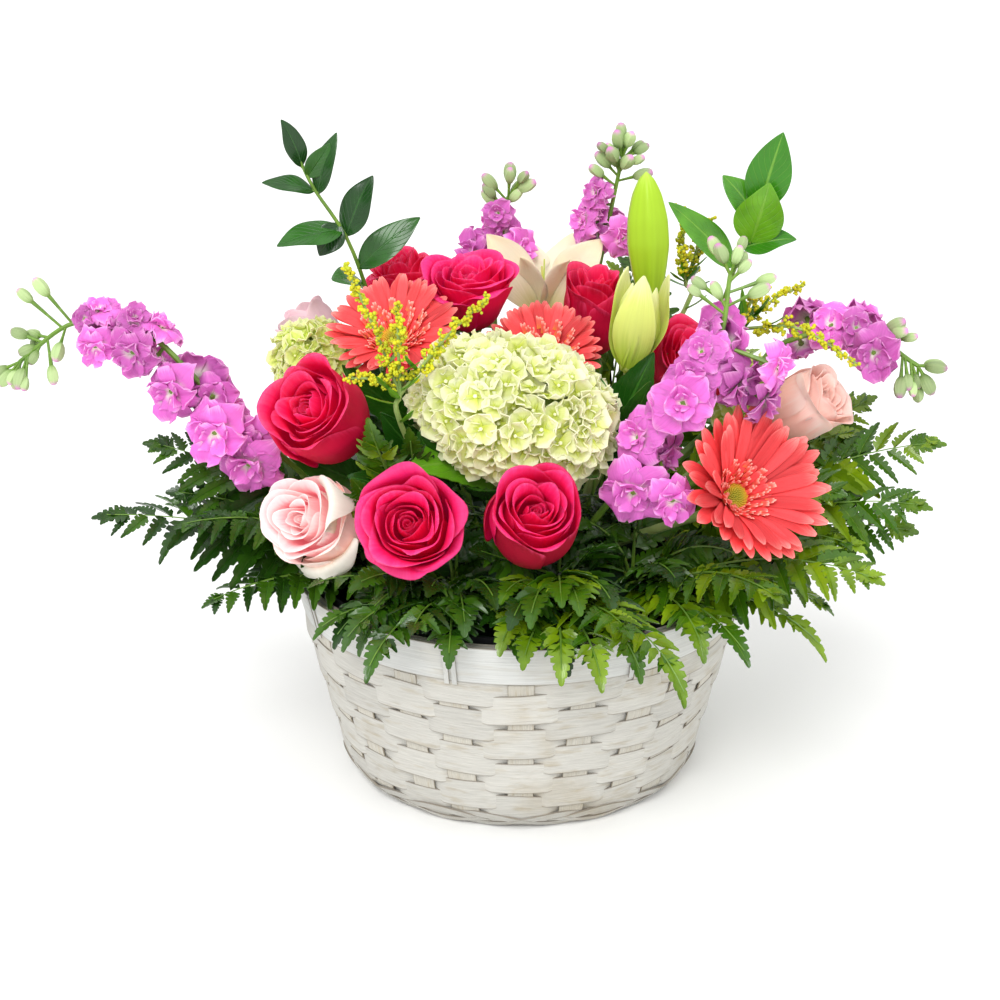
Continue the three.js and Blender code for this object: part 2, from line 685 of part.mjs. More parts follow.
// ================================================================ stocks
addStock("stock_left", {
  path: [[-128, -34, 196], [-170, -48, 240], [-215, -40, 284], [-255, -38, 289], [-289, -38, 266]],
  entry: [-120, -22, 160],
  florets: [
    [-158, -64, 208, 18], [-176, -70, 230, 17], [-186, -36, 256, 17], [-202, -62, 252, 17],
    [-204, -36, 290, 15], [-222, -58, 274, 15], [-240, -40, 300, 12], [-242, -54, 276, 12],
  ],
  buds: [[-273, -38, 310, 10], [-264, -48, 274], [-282, -30, 280], [-284, -50, 256], [-298, -38, 256, 8]],
});
addStock("stock_mid_left", {
  path: [[-16, 92, 280], [-14, 98, 310], [-7, 100, 337]],
  entry: [-20, 80, 160],
  florets: [[-32, 90, 304, 15], [4, 86, 306, 15], [-20, 116, 306, 15], [-14, 86, 329, 10]],
  buds: [[-6, 98, 353, 8], [-19, 98, 347], [5, 94, 345]],
});
addStock("stock_mid_right", {
  path: [[50, 88, 290], [55, 82, 320], [63, 78, 364]],
  entry: [50, 84, 160],
  florets: [[36, 78, 326, 14], [66, 66, 316, 14], [52, 104, 318, 15], [45, 74, 344, 10]],
  buds: [[62, 75, 381, 8], [47, 72, 358], [76, 70, 356], [51, 72, 372], [73, 80, 372]],
});
addStock("stock_front", {
  path: [[58, -66, 200], [84, -88, 246], [108, -78, 288], [115, -62, 322]],
  entry: [60, -60, 160],
  florets: [
    [60, -110, 208, 17], [83, -118, 206, 15], [60, -94, 238, 17], [86, -110, 262, 18],
    [124, -92, 266, 18], [112, -56, 290, 14], [96, -96, 288, 13],
  ],
  buds: [[94, -74, 316, 10], [130, -74, 316, 8], [106, -62, 338], [122, -54, 338, 9]],
});
addStock("stock_right", {
  path: [[134, -22, 214], [146, -12, 264], [194, -24, 281], [230, -32, 262]],
  entry: [110, -14, 160],
  florets: [[178, -28, 287, 15], [200, -48, 272, 15], [200, -8, 286, 15], [172, 8, 284, 15]],
  buds: [[216, -40, 284], [240, -36, 262, 8], [218, -44, 252], [232, -30, 244]],
});

// ================================================================ lilies on one branched stem
const lilyOpen = { at: [15, 74, 264], along: [0, 0, 1] };
const lilyLime = { at: [79, 30, 280], along: [-0.05, 0.05, 1] };
const lilyHalf = { at: [63, -24, 256], along: [0.16, 0.02, 1] };
const lilyPlace = ({ at, along }) => frameAt(vec(at), vec(along), new THREE.Vector3(0, 1, 0));
const openTips = [[-36, -4, 55], [36, -4, 52], [-20, 34, 50], [20, 34, 48], [-15, -22, 44], [16, -20, 42]];
addPiece("lily_open", openLily(lilyOpen.at, openTips), "#f4efd6");
addPiece("lily_bud", placed(lilyBud({ length: 84, width: 30 }), lilyPlace(lilyLime)), "#a6cf3d");
addPiece("lily_half_open", placed(partingLily({ length: 62, width: 40 }), lilyPlace(lilyHalf)), "#cfe07a");
const lilyJoin = new THREE.Vector3(52, 32, 188);
const lilyLean = new THREE.Vector3(0.2, 0.1, 1).normalize();
const lilyFoot = stemTo(lilyJoin, lilyLean, 3, { neck: 14, entry: [66, 42, 160] });
const lilyStem = [rod(lilyFoot, lilyFoot.map(() => 3))];
for (const { at, along } of [lilyOpen, lilyLime, lilyHalf]) {
  const lean = vec(along).normalize();
  const end = vec(at).addScaledVector(lean, at === lilyOpen.at ? -2 - clearance : -clearance);
  const below = end.clone().addScaledVector(lean, -26);
  const start = lilyJoin.clone().add(new THREE.Vector3(0, 0, -3));
  lilyStem.push(rod([start, below, end], [2.6, 2.6, 3.4]));
}
addPiece("lily_stem", fuse(lilyStem), green.fresh);

// ================================================================ ruscus
addBranch("ruscus_left", {
  path: [[-84, 42, 240], [-92, 36, 285], [-104, 26, 325], [-122, 22, 355], [-130, 22, 372]],
  entry: [-70, 40, 160],
  colour: green.deep,
  leaves: [
    [[-129, 22, 368], [-140, 20, 396], 14, [1, -1, 0.2]],
    [[-120, 22, 352], [-108, 24, 388], 15, [-0.6, -1, 0.2]],
    [[-122, 22, 354], [-152, 14, 360], 14, [0.2, -0.6, 1]],
    [[-106, 25, 330], [-142, 8, 324], 17, [0, -0.7, 1]],
    [[-104, 26, 326], [-88, 30, 360], 17, [-0.6, -1, 0.1]],
    [[-98, 30, 306], [-62, 34, 334], 16, [-0.3, -1, 0.4]],
    [[-94, 34, 294], [-112, 8, 300], 16, [0, -0.8, 1]],
  ],
});
addBranch("ruscus_right", {
  path: [[118, 52, 240], [126, 44, 285], [134, 30, 318], [142, 26, 345]],
  entry: [80, 50, 160],
  colour: green.fresh,
  leaves: [
    [[142, 26, 342], [154, 25, 386], 22, [-0.3, -1, 0.1]],
    [[140, 26, 338], [120, 30, 362], 20, [0.5, -1, 0.3]],
    [[138, 28, 328], [146, 10, 352], 26, [0, -1, 0.2]],
    [[134, 30, 318], [164, 18, 326], 20, [-0.2, -0.7, 1]],
    [[130, 36, 305], [88, 30, 346], 19, [0.5, -1, 0.3]],
  ],
});

// ================================================================ two broad leaves
addBranch("leaf_pair", {
  path: [[44, -26, 190], [46, -28, 206]],
  entry: [56, -34, 160],
  colour: "#3c7a26",
  leaves: [
    [[45, -26, 194], [74, -42, 286], 30, [-0.2, -1, 0.3]],
    [[45, -26, 194], [72, -66, 262], 22, [0.4, -1, 0.3]],
  ],
});

// ================================================================ goldenrod
addGoldenrod("goldenrod_left", {
  fork: [-68, -80, 258],
  entry: [-76, -56, 160],
  plumes: [
    { to: [-97, -78, 332], width: 9 }, { to: [-18, -80, 314] }, { to: [-96, -88, 270], width: 8 },
    { to: [-68, -86, 312], width: 8 },
  ],
});
addGoldenrod("goldenrod_mid", {
  fork: [102, 48, 292],
  entry: [70, 78, 160],
  plumes: [{ to: [98, 52, 340] }, { to: [116, 44, 334], width: 8 }, { to: [98, 30, 318], width: 7 }],
});
addGoldenrod("goldenrod_right", {
  fork: [128, -16, 280],
  entry: [110, -26, 160],
  neck: 60,
  plumes: [
    { to: [168, 2, 302], width: 8 }, { to: [188, -64, 272], sag: 10 }, { to: [140, -30, 312], width: 7 },
  ],
});

// ================================================================ leatherleaf ferns
addFern("fern_left", {
  bearing: 197,
  fronds: [
    { turn: -14, length: 164, width: 96, stalk: 30, lift: 40, droop: 26, hold: 50, roll: -34 },
    { turn: -2, length: 178, width: 96, stalk: 30, lift: 24, droop: 20, hold: 50, roll: -24 },
    { turn: 19, length: 124, width: 80, stalk: 26, lift: 11, droop: 24, hold: 48 },
  ],
});
addFern("fern_front_left", {
  bearing: 243,
  fronds: [{
    lobes: [
      { turn: -30, length: 94, width: 66, stalk: 22 },
      { turn: 0, length: 106, width: 62, stalk: 22 },
      { turn: 26, length: 92, width: 60, stalk: 22 },
    ],
    lift: 11, droop: 52, hold: 50,
  }, { turn: 14, length: 96, width: 62, stalk: 24, lift: 21, droop: 34, hold: 50 }],
});
addFern("fern_front", {
  bearing: 284,
  fronds: [{
    lobes: [
      { turn: -27, length: 92, width: 60, stalk: 22 },
      { turn: -2, length: 106, width: 62, stalk: 22 },
      { turn: 22, length: 124, width: 60, stalk: 22 },
    ],
    lift: 11, droop: 66, hold: 52,
  }, { turn: 8, length: 100, width: 66, stalk: 24, lift: 21, droop: 34, hold: 50 }],
});
addFern("fern_front_right", {
  bearing: 322,
  fronds: [
    {
      lobes: [
        { turn: -22, length: 116, width: 66, stalk: 24 },
        { turn: 4, length: 132, width: 76, stalk: 24 },
        { turn: 28, length: 116, width: 66, stalk: 24 },
      ],
      lift: 10, droop: 50, hold: 52,
    },
    { turn: -12, length: 120, width: 80, stalk: 30, lift: 25, droop: 40, hold: 54 },
    { turn: 9, length: 156, width: 92, stalk: 34, lift: 24, droop: 36, hold: 56, roll: 22 },
  ],
});
addFern("fern_right", {
  bearing: 354,
  fronds: [
    { turn: -13, length: 172, width: 96, stalk: 32, lift: 29, droop: 32, hold: 60, roll: 30 },
    { turn: 1, length: 188, width: 96, stalk: 32, lift: 36, droop: 30, hold: 60, roll: 34 },
    { turn: 21, length: 168, width: 96, stalk: 32, lift: 38, droop: 12, hold: 60, roll: 30 },
  ],
});
addFern("fern_back_right", {
  bearing: 52,
  fronds: [
    { lobes: [
      { turn: -26, length: 128, width: 76, stalk: 24 },
      { turn: 0, length: 120, width: 76, stalk: 24 },
      { turn: 24, length: 112, width: 70, stalk: 24 },
    ], lift: 12, droop: 46, hold: 50 },
    { turn: -22, length: 160, width: 96, stalk: 30, lift: 48, droop: 30, hold: 60 },
    { turn: 18, length: 184, width: 124, stalk: 34, lift: 72, droop: 26, hold: 60 },
  ],
});
addFern("fern_back_left", {
  bearing: 124,
  fronds: [
    { lobes: [
      { turn: -24, length: 112, width: 70, stalk: 24 },
      { turn: 0, length: 120, width: 76, stalk: 24 },
      { turn: 26, length: 128, width: 76, stalk: 24 },
    ], lift: 12, droop: 46, hold: 50 },
    { turn: -16, length: 178, width: 124, stalk: 34, lift: 74, droop: 26, hold: 60 },
    { turn: 22, length: 160, width: 96, stalk: 30, lift: 50, droop: 30, hold: 60 },
  ],
});

// ================================================================ the foam, with a plain hole for each stem
const block = turned(
  [
    [0, foam.bottom], [foam.radius, foam.bottom], [foam.radius, foam.top - 4],
    [foam.radius - 4, foam.top], [0, foam.top],
  ],
  24,
);
const drilled = holes.map(solidOf).reduce((left, hole) => left.subtract(hole), solidOf(block));
addPiece("foam", geometryOf(drilled), "#2f5a33", 0.95);

export default group;
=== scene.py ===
import bpy
import math
import random
from functools import partial
import numpy as np
from mathutils import Matrix, Vector, noise


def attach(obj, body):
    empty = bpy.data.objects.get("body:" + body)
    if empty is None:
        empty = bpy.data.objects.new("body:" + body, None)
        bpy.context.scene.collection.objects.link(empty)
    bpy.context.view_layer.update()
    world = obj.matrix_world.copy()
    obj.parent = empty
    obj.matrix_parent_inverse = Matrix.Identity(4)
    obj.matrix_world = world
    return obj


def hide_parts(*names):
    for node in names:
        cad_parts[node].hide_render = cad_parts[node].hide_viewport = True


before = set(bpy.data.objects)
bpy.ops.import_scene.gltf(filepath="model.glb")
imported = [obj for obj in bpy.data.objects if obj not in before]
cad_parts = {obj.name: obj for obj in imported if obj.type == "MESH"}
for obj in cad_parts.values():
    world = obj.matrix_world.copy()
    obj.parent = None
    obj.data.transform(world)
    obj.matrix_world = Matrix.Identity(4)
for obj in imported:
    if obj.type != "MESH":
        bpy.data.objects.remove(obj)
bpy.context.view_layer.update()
bpy.ops.object.select_all(action="DESELECT")

# everything is modelled in millimetres and brought to metres when it is settled in its place
toMetres = Matrix.Scale(0.001, 4)
up = Vector((0, 0, 1))
golden = math.pi * (3 - math.sqrt(5))

# the camera comes first, at the photograph's angle
camera = {"at": (-0.0123, -1.042, 0.537), "pitchDown": 19.5, "lens": 64.8, "sensor": 36}
bpy.ops.object.camera_add(location=camera["at"], rotation=(math.radians(90 - camera["pitchDown"]), 0, 0))
bpy.context.object.name = "camera"
bpy.context.object.data.lens = camera["lens"]
bpy.context.object.data.sensor_width = camera["sensor"]
bpy.context.scene.camera = bpy.context.object
print("camera placed")


def ease(low, high, x):
    x = min(max((x - low) / (high - low), 0), 1)
    return x * x * (3 - 2 * x)


def along(stops, share):
    # the value at a share of the way along stops of (share, value)
    for (a, low), (b, high) in zip(stops, stops[1:]):
        if share <= b:
            return low + (high - low) * (share - a) / (b - a)
    return stops[-1][1]


def facing(heading, tilt):
    # heading 0 looks to the front and 90 to the right; tilt is above the horizon
    h, t = math.radians(heading), math.radians(tilt)
    return Vector((math.sin(h) * math.cos(t), -math.cos(h) * math.cos(t), math.sin(t)))


def polar(turn, out, z, side=0):
    # a point that far out from the z axis at a turn, and that far to the side of it
    x, y = math.cos(turn), math.sin(turn)
    return Vector((out * x - side * y, out * y + side * x, z))


def onLine(points, share):
    # the point at a share of the way along, when all the stretches count the same
    place = share * (len(points) - 1)
    low = min(int(place), len(points) - 2)
    return Vector(points[low]).lerp(Vector(points[low + 1]), place - low)


def strayed(chance, spread):
    return Vector([chance.gauss(0, spread) for axis in range(3)])


def frameAt(foot, way, top=up, spin=0):
    # a turned frame whose z runs that way and whose y is as near to top as it can be
    z = Vector(way).normalized()
    x = Vector(top).cross(z)
    x = x.normalized() if x.length > 1e-4 else Vector((1, 0, 0))
    y = z.cross(x)
    turn = Matrix((x, y, z)).transposed().to_4x4()
    turn.translation = Vector(foot)
    return turn @ Matrix.Rotation(math.radians(spin), 4, "Z")


def smoothLine(points, steps=6):
    # a curve through all the points
    points = [Vector(p) for p in points]
    knots = [2 * points[0] - points[1], *points, 2 * points[-1] - points[-2]]
    line = []
    for a, b, c, d in zip(knots, knots[1:], knots[2:], knots[3:]):
        for k in range(steps):
            t = k / steps
            line.append(0.5 * (2 * b + (c - a) * t + (2 * a - 5 * b + 4 * c - d) * t**2
                               + (3 * b - a - 3 * c + d) * t**3))
    return [*line, points[-1]]


def tint(piece, shade):
    # one number for each point, which the materials read to vary their colour
    shades = piece.data.attributes.get("shade") or piece.data.attributes.new("shade", "FLOAT", "POINT")
    shades.data.foreach_set("value", [shade] * len(piece.data.vertices))
    return piece


def sheet(cols, rows, shape, shade=0.5):
    # a grid whose points are moved by shape(u, v): u across from -1 to 1, v along from 0 to 1
    bpy.ops.mesh.primitive_grid_add(x_subdivisions=cols, y_subdivisions=rows, size=2)
    piece = bpy.context.object
    for point in piece.data.vertices:
        point.co = shape(point.co.x, (point.co.y + 1) / 2)
    return tint(piece, shade)


def stalks(lines, shade=0.5, sides=2):
    # round stems through (points, radii), as one mesh
    curve = bpy.data.curves.new("stalks", "CURVE")
    curve.dimensions = "3D"
    curve.bevel_depth = 1
    curve.bevel_resolution = sides
    curve.use_fill_caps = True
    for points, radii in lines:
        spline = curve.splines.new("POLY")
        spline.points.add(len(points) - 1)
        for knot, point, radius in zip(spline.points, points, radii):
            knot.co = (*point, 1)
            knot.radius = radius
    piece = bpy.data.objects.new("stalks", curve)
    bpy.context.collection.objects.link(piece)
    choose([piece])
    bpy.ops.object.convert(target="MESH")
    piece = bpy.context.object
    if not piece.data.uv_layers:
        piece.data.uv_layers.new(name="UVMap")
    piece.data.uv_layers[0].name = "UVMap"
    return tint(piece, shade)


def choose(pieces):
    bpy.ops.object.select_all(action="DESELECT")
    for piece in pieces:
        piece.select_set(True)
    bpy.context.view_layer.objects.active = pieces[0]


def joined(pieces):
    choose(pieces)
    if len(pieces) > 1:
        bpy.ops.object.join()
    return bpy.context.object


def merged(piece, gap):
    # closes a sheet where its edges meet
    choose([piece])
    bpy.ops.object.mode_set(mode="EDIT")
    bpy.ops.mesh.select_all(action="SELECT")
    bpy.ops.mesh.remove_doubles(threshold=gap)
    bpy.ops.object.mode_set(mode="OBJECT")
    return piece


def ball(radius, z, sides, rings, shade):
    bpy.ops.mesh.primitive_uv_sphere_add(segments=sides, ring_count=rings, radius=radius, location=(0, 0, z))
    bpy.ops.object.transform_apply(location=True)
    return tint(bpy.context.object, shade)


def fleshed(piece, depth, levels=1, offset=0, back=0):
    # gives a sheet its thickness and rounds it; back is the step to the material of its other face
    choose([piece])
    if depth:
        skin = piece.modifiers.new("depth", "SOLIDIFY")
        skin.thickness = depth
        skin.offset = offset
        skin.material_offset = back
    if levels:
        smooth = piece.modifiers.new("round", "SUBSURF")
        smooth.levels = smooth.render_levels = levels
    for modifier in list(piece.modifiers):
        bpy.ops.object.modifier_apply(modifier=modifier.name)
    return piece


def patternOf(piece):
    # a modelled piece read once, to be copied many times
    mesh = piece.data
    pattern = {
        "spots": np.array([p.co[:] for p in mesh.vertices]),
        "faces": [tuple(face.vertices) for face in mesh.polygons],
        "slots": [face.material_index for face in mesh.polygons],
        "uvs": np.array([corner.uv[:] for corner in mesh.uv_layers[0].data]),
    }
    bpy.data.objects.remove(piece)
    return pattern


def scattered(copies):
    # one mesh of copies, each (pattern, turn, shade) with its own points
    spots, faces, slots, uvs, shades, start = [], [], [], [], [], 0
    for pattern, turn, shade in copies:
        turned = pattern["spots"] @ np.array(turn.to_3x3()).T + np.array(turn.translation)
        spots.append(turned)
        faces += [tuple(corner + start for corner in face) for face in pattern["faces"]]
        slots += pattern["slots"]
        uvs.append(pattern["uvs"])
        shades += [shade] * len(turned)
        start += len(turned)
    mesh = bpy.data.meshes.new("copies")
    mesh.from_pydata(np.vstack(spots).tolist(), [], faces)
    mesh.polygons.foreach_set("material_index", slots)
    mesh.uv_layers.new(name="UVMap").data.foreach_set("uv", np.vstack(uvs).ravel())
    mesh.attributes.new("shade", "FLOAT", "POINT").data.foreach_set("value", shades)
    piece = bpy.data.objects.new("copies", mesh)
    bpy.context.collection.objects.link(piece)
    return piece


def dress(piece, *finishes):
    for finish in finishes:
        piece.data.materials.append(finish)
    return piece


def settle(piece, name, nodes, turn=Matrix()):
    # puts a finished piece in its place, in the stead of its solid
    choose([piece])
    piece.name = piece.data.name = name
    piece.data.transform(toMetres @ turn)
    bpy.ops.object.shade_smooth_by_angle(angle=math.radians(50))
    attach(piece, "root")
    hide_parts(*nodes)
    return piece


# the shared effects: a petal's or leaf's colours along its length, veins, and mottling

def put(tree, socket, value):
    # a number or a colour goes into the socket, and anything else is linked to it
    if isinstance(value, (int, float, tuple)):
        socket.default_value = value
    else:
        tree.links.new(value, socket)


def nodeGroup(name, colours, numbers):
    # a group that puts out a colour and a height, with its colours and numbers as inputs
    group = bpy.data.node_groups.new(name, "ShaderNodeTree")
    for kind, inputs in (("NodeSocketColor", colours), ("NodeSocketFloat", numbers)):
        for label, value in inputs.items():
            group.interface.new_socket(label, in_out="INPUT", socket_type=kind).default_value = value
    group.interface.new_socket("Color", in_out="OUTPUT", socket_type="NodeSocketColor")
    group.interface.new_socket("Height", in_out="OUTPUT", socket_type="NodeSocketFloat")
    return group, group.nodes.new("NodeGroupInput").outputs


def mathNode(tree, operation, *values):
    node = tree.nodes.new("ShaderNodeMath")
    node.operation = operation
    for socket, value in zip(node.inputs, values):
        put(tree, socket, value)
    return node.outputs[0]


def mathOf(tree):
    return [partial(mathNode, tree, operation) for operation in ("MULTIPLY", "ADD", "SUBTRACT", "ABSOLUTE")]


def mixNode(tree, share, first, second):
    node = tree.nodes.new("ShaderNodeMix")
    node.data_type = "RGBA"
    for number, value in ((0, share), (6, first), (7, second)):   # 6 and 7 are the colour sockets
        put(tree, node.inputs[number], value)
    return node.outputs[2]


def stepNode(tree, value, low, high):
    # 0 below low and 1 above high, or the other way round when low is the greater
    node = tree.nodes.new("ShaderNodeMapRange")
    node.interpolation_type = "SMOOTHSTEP"
    flipped = low > high
    settings = (value, min(low, high), max(low, high), float(flipped), float(not flipped))
    for socket, setting in zip(node.inputs, settings):
        put(tree, socket, setting)
    return node.outputs[0]


def noiseNode(tree, vector, scale, detail=3):
    node = tree.nodes.new("ShaderNodeTexNoise")
    node.inputs["Scale"].default_value = scale
    node.inputs["Detail"].default_value = detail
    tree.links.new(vector, node.inputs["Vector"])
    return node.outputs[0]


def ownPlace(tree):
    # the piece's uv as x (across) and y (along), with its shade beside them
    parts = tree.nodes.new("ShaderNodeSeparateXYZ")
    tree.links.new(tree.nodes.new("ShaderNodeTexCoord").outputs["UV"], parts.inputs[0])
    shade = tree.nodes.new("ShaderNodeAttribute")
    shade.attribute_name = "shade"
    return parts.outputs[0], parts.outputs[1], shade.outputs["Fac"]


def blotchNode(tree, scale, detail):
    return noiseNode(tree, tree.nodes.new("ShaderNodeTexCoord").outputs["Object"], scale, detail)


def stretched(tree, *values):
    joiner = tree.nodes.new("ShaderNodeCombineXYZ")
    for socket, value in zip(joiner.inputs, values):
        tree.links.new(value, socket)
    return joiner.outputs[0]


def putOut(tree, colour, light, height):
    # the group's results: its colour made lighter or darker, and its relief
    scaled = tree.nodes.new("ShaderNodeVectorMath")
    scaled.operation = "SCALE"
    tree.links.new(colour, scaled.inputs[0])
    tree.links.new(light, scaled.inputs["Scale"])
    made = tree.nodes.new("NodeGroupOutput").inputs
    tree.links.new(scaled.outputs[0], made["Color"])
    tree.links.new(height, made["Height"])
    return tree


def petalEffect():
    # one colour at its foot, which in the roses is darker, partly as painted shade deep in the bloom; its own
    # colour in the blade and another at its lip, with fine veins along it
    tree, given = nodeGroup(
        "petalColour",
        {"Foot": (0.5, 0, 0.05, 1), "Blade": (0.8, 0.02, 0.15, 1), "Lip": (0.9, 0.1, 0.3, 1)},
        {"Lip From": 0.7, "Vary": 0.3})
    times, plus, less, size = mathOf(tree)
    x, y, shade = ownPlace(tree)
    streaks = noiseNode(tree, stretched(tree, times(x, 26.0), times(y, 1.6), times(shade, 40.0)), 1.0)
    wobble = plus(y, times(less(streaks, 0.5), 0.25))
    lip = mathNode(tree, "DIVIDE", less(wobble, given["Lip From"]), 0.28)
    colour = mixNode(tree, stepNode(tree, wobble, 0.5, 0.05), given["Blade"], given["Foot"])
    colour = mixNode(tree, stepNode(tree, lip, 0.0, 1.0), colour, given["Lip"])
    tone = less(plus(times(shade, 0.65), times(streaks, 0.35)), 0.5)
    return putOut(tree, colour, plus(1.0, times(tone, given["Vary"])), streaks)


def leafEffect():
    # a pale midrib, side veins that run forward from it, and mottled blades
    tree, given = nodeGroup(
        "leafColour",
        {"Blade": (0.05, 0.2, 0.01, 1), "Vein": (0.2, 0.4, 0.05, 1), "Young": (0.2, 0.4, 0.02, 1)},
        {"Veins": 9.0, "Slant": 0.7, "Vary": 0.5})
    times, plus, less, size = mathOf(tree)
    x, y, shade = ownPlace(tree)
    side = size(less(x, 0.5))
    rib = stepNode(tree, side, 0.045, 0.012)
    run = less(y, times(side, given["Slant"]))
    comb = size(less(mathNode(tree, "FRACT", times(run, given["Veins"])), 0.5))
    veins = stepNode(tree, comb, 0.09, 0.0)
    blotch = blotchNode(tree, 70.0, 4)
    young = stepNode(tree, plus(times(shade, 0.75), times(blotch, 0.5)), 0.35, 1.0)
    colour = mixNode(tree, young, given["Blade"], given["Young"])
    colour = mixNode(tree, times(veins, 0.22), colour, given["Vein"])
    colour = mixNode(tree, times(rib, 0.6), colour, given["Vein"])
    light = plus(1.0, times(less(blotch, 0.5), given["Vary"]))
    return putOut(tree, colour, light, less(times(blotch, 0.3), plus(times(veins, 0.6), rib)))


def chipEffect():
    # whitewash over warm wood, with grain along the strip and stains, and painted shade darkening the strip's
    # edges where it meets the next strip
    tree, given = nodeGroup(
        "chipWood",
        {"Wash": (0.8, 0.79, 0.74, 1), "Wood": (0.5, 0.4, 0.27, 1), "Edge": (0.3, 0.24, 0.17, 1)},
        {"Grain Length": 40.0, "Grain Count": 9.0, "Stain": 0.5})
    times, plus, less, size = mathOf(tree)
    x, y, shade = ownPlace(tree)
    lengthways, count = times(x, given["Grain Length"]), given["Grain Count"]
    grain = noiseNode(tree, stretched(tree, lengthways, times(y, count), times(shade, 60.0)), 1.0, 6)
    fibres = stretched(tree, lengthways, times(y, times(count, 5.0)), times(shade, 90.0))
    fine = noiseNode(tree, fibres, 1.3, 4)
    stain = stepNode(tree, blotchNode(tree, 26.0, 5), 0.5, 0.75)
    warm = times(plus(times(stain, 0.55), times(stepNode(tree, grain, 0.52, 0.72), 0.6)), given["Stain"])
    # painted shade: a thin dark band along both edges of the strip, for the gaps between strips
    rim = plus(size(less(y, 0.5)), times(fine, 0.05))
    colour = mixNode(tree, warm, given["Wash"], given["Wood"])
    colour = mixNode(tree, times(stepNode(tree, rim, 0.485, 0.53), 0.7), colour, given["Edge"])
    light = plus(0.62, plus(times(fine, 0.58), times(shade, 0.16)))
    return putOut(tree, colour, light, plus(fine, grain))


petalGroup, leafGroup, chipGroup = petalEffect(), leafEffect(), chipEffect()


def srgb(code):
    # a hex colour as the eye sees it, to the linear values that the shader takes
    parts = [int(code[i:i + 2], 16) / 255 for i in (1, 3, 5)]
    return (*[c / 12.92 if c <= 0.04045 else ((c + 0.055) / 1.055) ** 2.4 for c in parts], 1)


def finishOf(name, group, colours, values, roughness, bump, **shaderValues):
    material = bpy.data.materials.new(name)
    material.use_nodes = True
    tree = material.node_tree
    shader = tree.nodes["Principled BSDF"]
    effect = tree.nodes.new("ShaderNodeGroup")
    effect.node_tree = group
    for label, value in {**{label: srgb(code) for label, code in colours.items()}, **values}.items():
        effect.inputs[label].default_value = value
    relief = tree.nodes.new("ShaderNodeBump")
    relief.inputs["Strength"].default_value = bump
    relief.inputs["Distance"].default_value = 0.0006
    tree.links.new(effect.outputs["Height"], relief.inputs["Height"])
    tree.links.new(relief.outputs[0], shader.inputs["Normal"])
    tree.links.new(effect.outputs["Color"], shader.inputs["Base Color"])
    for label, value in {"Roughness": roughness, **shaderValues}.items():
        shader.inputs[label.replace("_", " ")].default_value = value
    if shaderValues.get("Emission_Strength"):   # painted glow: the petal's own colour given off as light, in the stead of the light that thin petals let through
        tree.links.new(effect.outputs["Color"], shader.inputs["Emission Color"])
    return material


# the last number gives the petal a painted glow: its own colour given off as light, as thin petals let light
# through
def petalFinish(name, foot, blade, lip, lipFrom=0.7, vary=0.35, roughness=0.6, glow=0.0, paintedGlow=0.0):
    return finishOf(name, petalGroup, {"Foot": foot, "Blade": blade, "Lip": lip},
                    {"Lip From": lipFrom, "Vary": vary}, roughness, 0.25, Specular_IOR_Level=0.25,
                    Subsurface_Weight=glow, Subsurface_Scale=0.003, Subsurface_Radius=(1, 0.8, 0.8),
                    Emission_Strength=paintedGlow)


def leafFinish(name, blade, vein, young, veins=9, slant=0.7, vary=0.5, roughness=0.36, bump=0.5):
    return finishOf(name, leafGroup, {"Blade": blade, "Vein": vein, "Young": young},
                    {"Veins": veins, "Slant": slant, "Vary": vary}, roughness, bump)


# the edge colour is painted shade along the edges of the strips
def woodFinish(name, wash, wood, edge, grainLength, grainCount, stain, roughness, bump):
    return finishOf(name, chipGroup, {"Wash": wash, "Wood": wood, "Edge": edge},
                    {"Grain Length": grainLength, "Grain Count": grainCount, "Stain": stain}, roughness, bump)


stemGreen = leafFinish("stemGreen", "#4f7a24", "#7fa24a", "#86a83c", 3, 0.1, roughness=0.45, bump=0.2)
stemPale = leafFinish("stemPale", "#7f9a52", "#a8bd74", "#a2b86a", 3, 0.1, roughness=0.5, bump=0.2)
print("shared finishes made")

# the basket: flat splints woven round upright ones, under a broad rim band
basket = {"height": 130, "rimRadius": 140, "bandRadius": 134.5, "footRadius": 107, "bandHeight": 24,
          "rows": 8, "stakes": 24, "weave": 1.4, "strip": 18.2, "stakeWide": 16, "splint": 0.8,
          "footZone": 8, "footStrips": 4, "footSplint": 1.1, "hoop": 1.8,
          "ties": 8, "tieWide": 2.9, "tieGap": 4.8, "tieThick": 0.7}
# each wood's third colour is painted shade along the edges of its strips
chipWood = woodFinish("chipWood", "#bebcb5", "#a29478", "#6a5d4c", 46.0, 5.0, 0.7, 0.72, 0.55)
stakeWood = woodFinish("stakeWood", "#c2beb3", "#a99b7e", "#76684f", 7.0, 7.0, 0.7, 0.75, 0.6)
hoopWood = woodFinish("hoopWood", "#c6c7c4", "#aca188", "#72654f", 24.0, 6.0, 0.45, 0.7, 0.45)
bottomWood = woodFinish("bottomWood", "#ded8cb", "#b9a37f", "#7a664c", 3.0, 40.0, 0.8, 0.8, 0.6)
wallTop = basket["height"] - basket["bandHeight"]
rowPitch = (wallTop + 3 - basket["footZone"]) / basket["rows"]


def wallRadius(z):
    # nearly straight sides on a rounded foot
    slope = (basket["bandRadius"] - basket["footRadius"]) / wallTop
    return basket["footRadius"] + slope * z - 5.5 * (1 - ease(0, 14, z)) ** 2 - 0.4


def fromFront(turn, r, z):
    # a point round the basket, whose turns are counted from the front
    return Vector((r * math.sin(turn), -r * math.cos(turn), z))


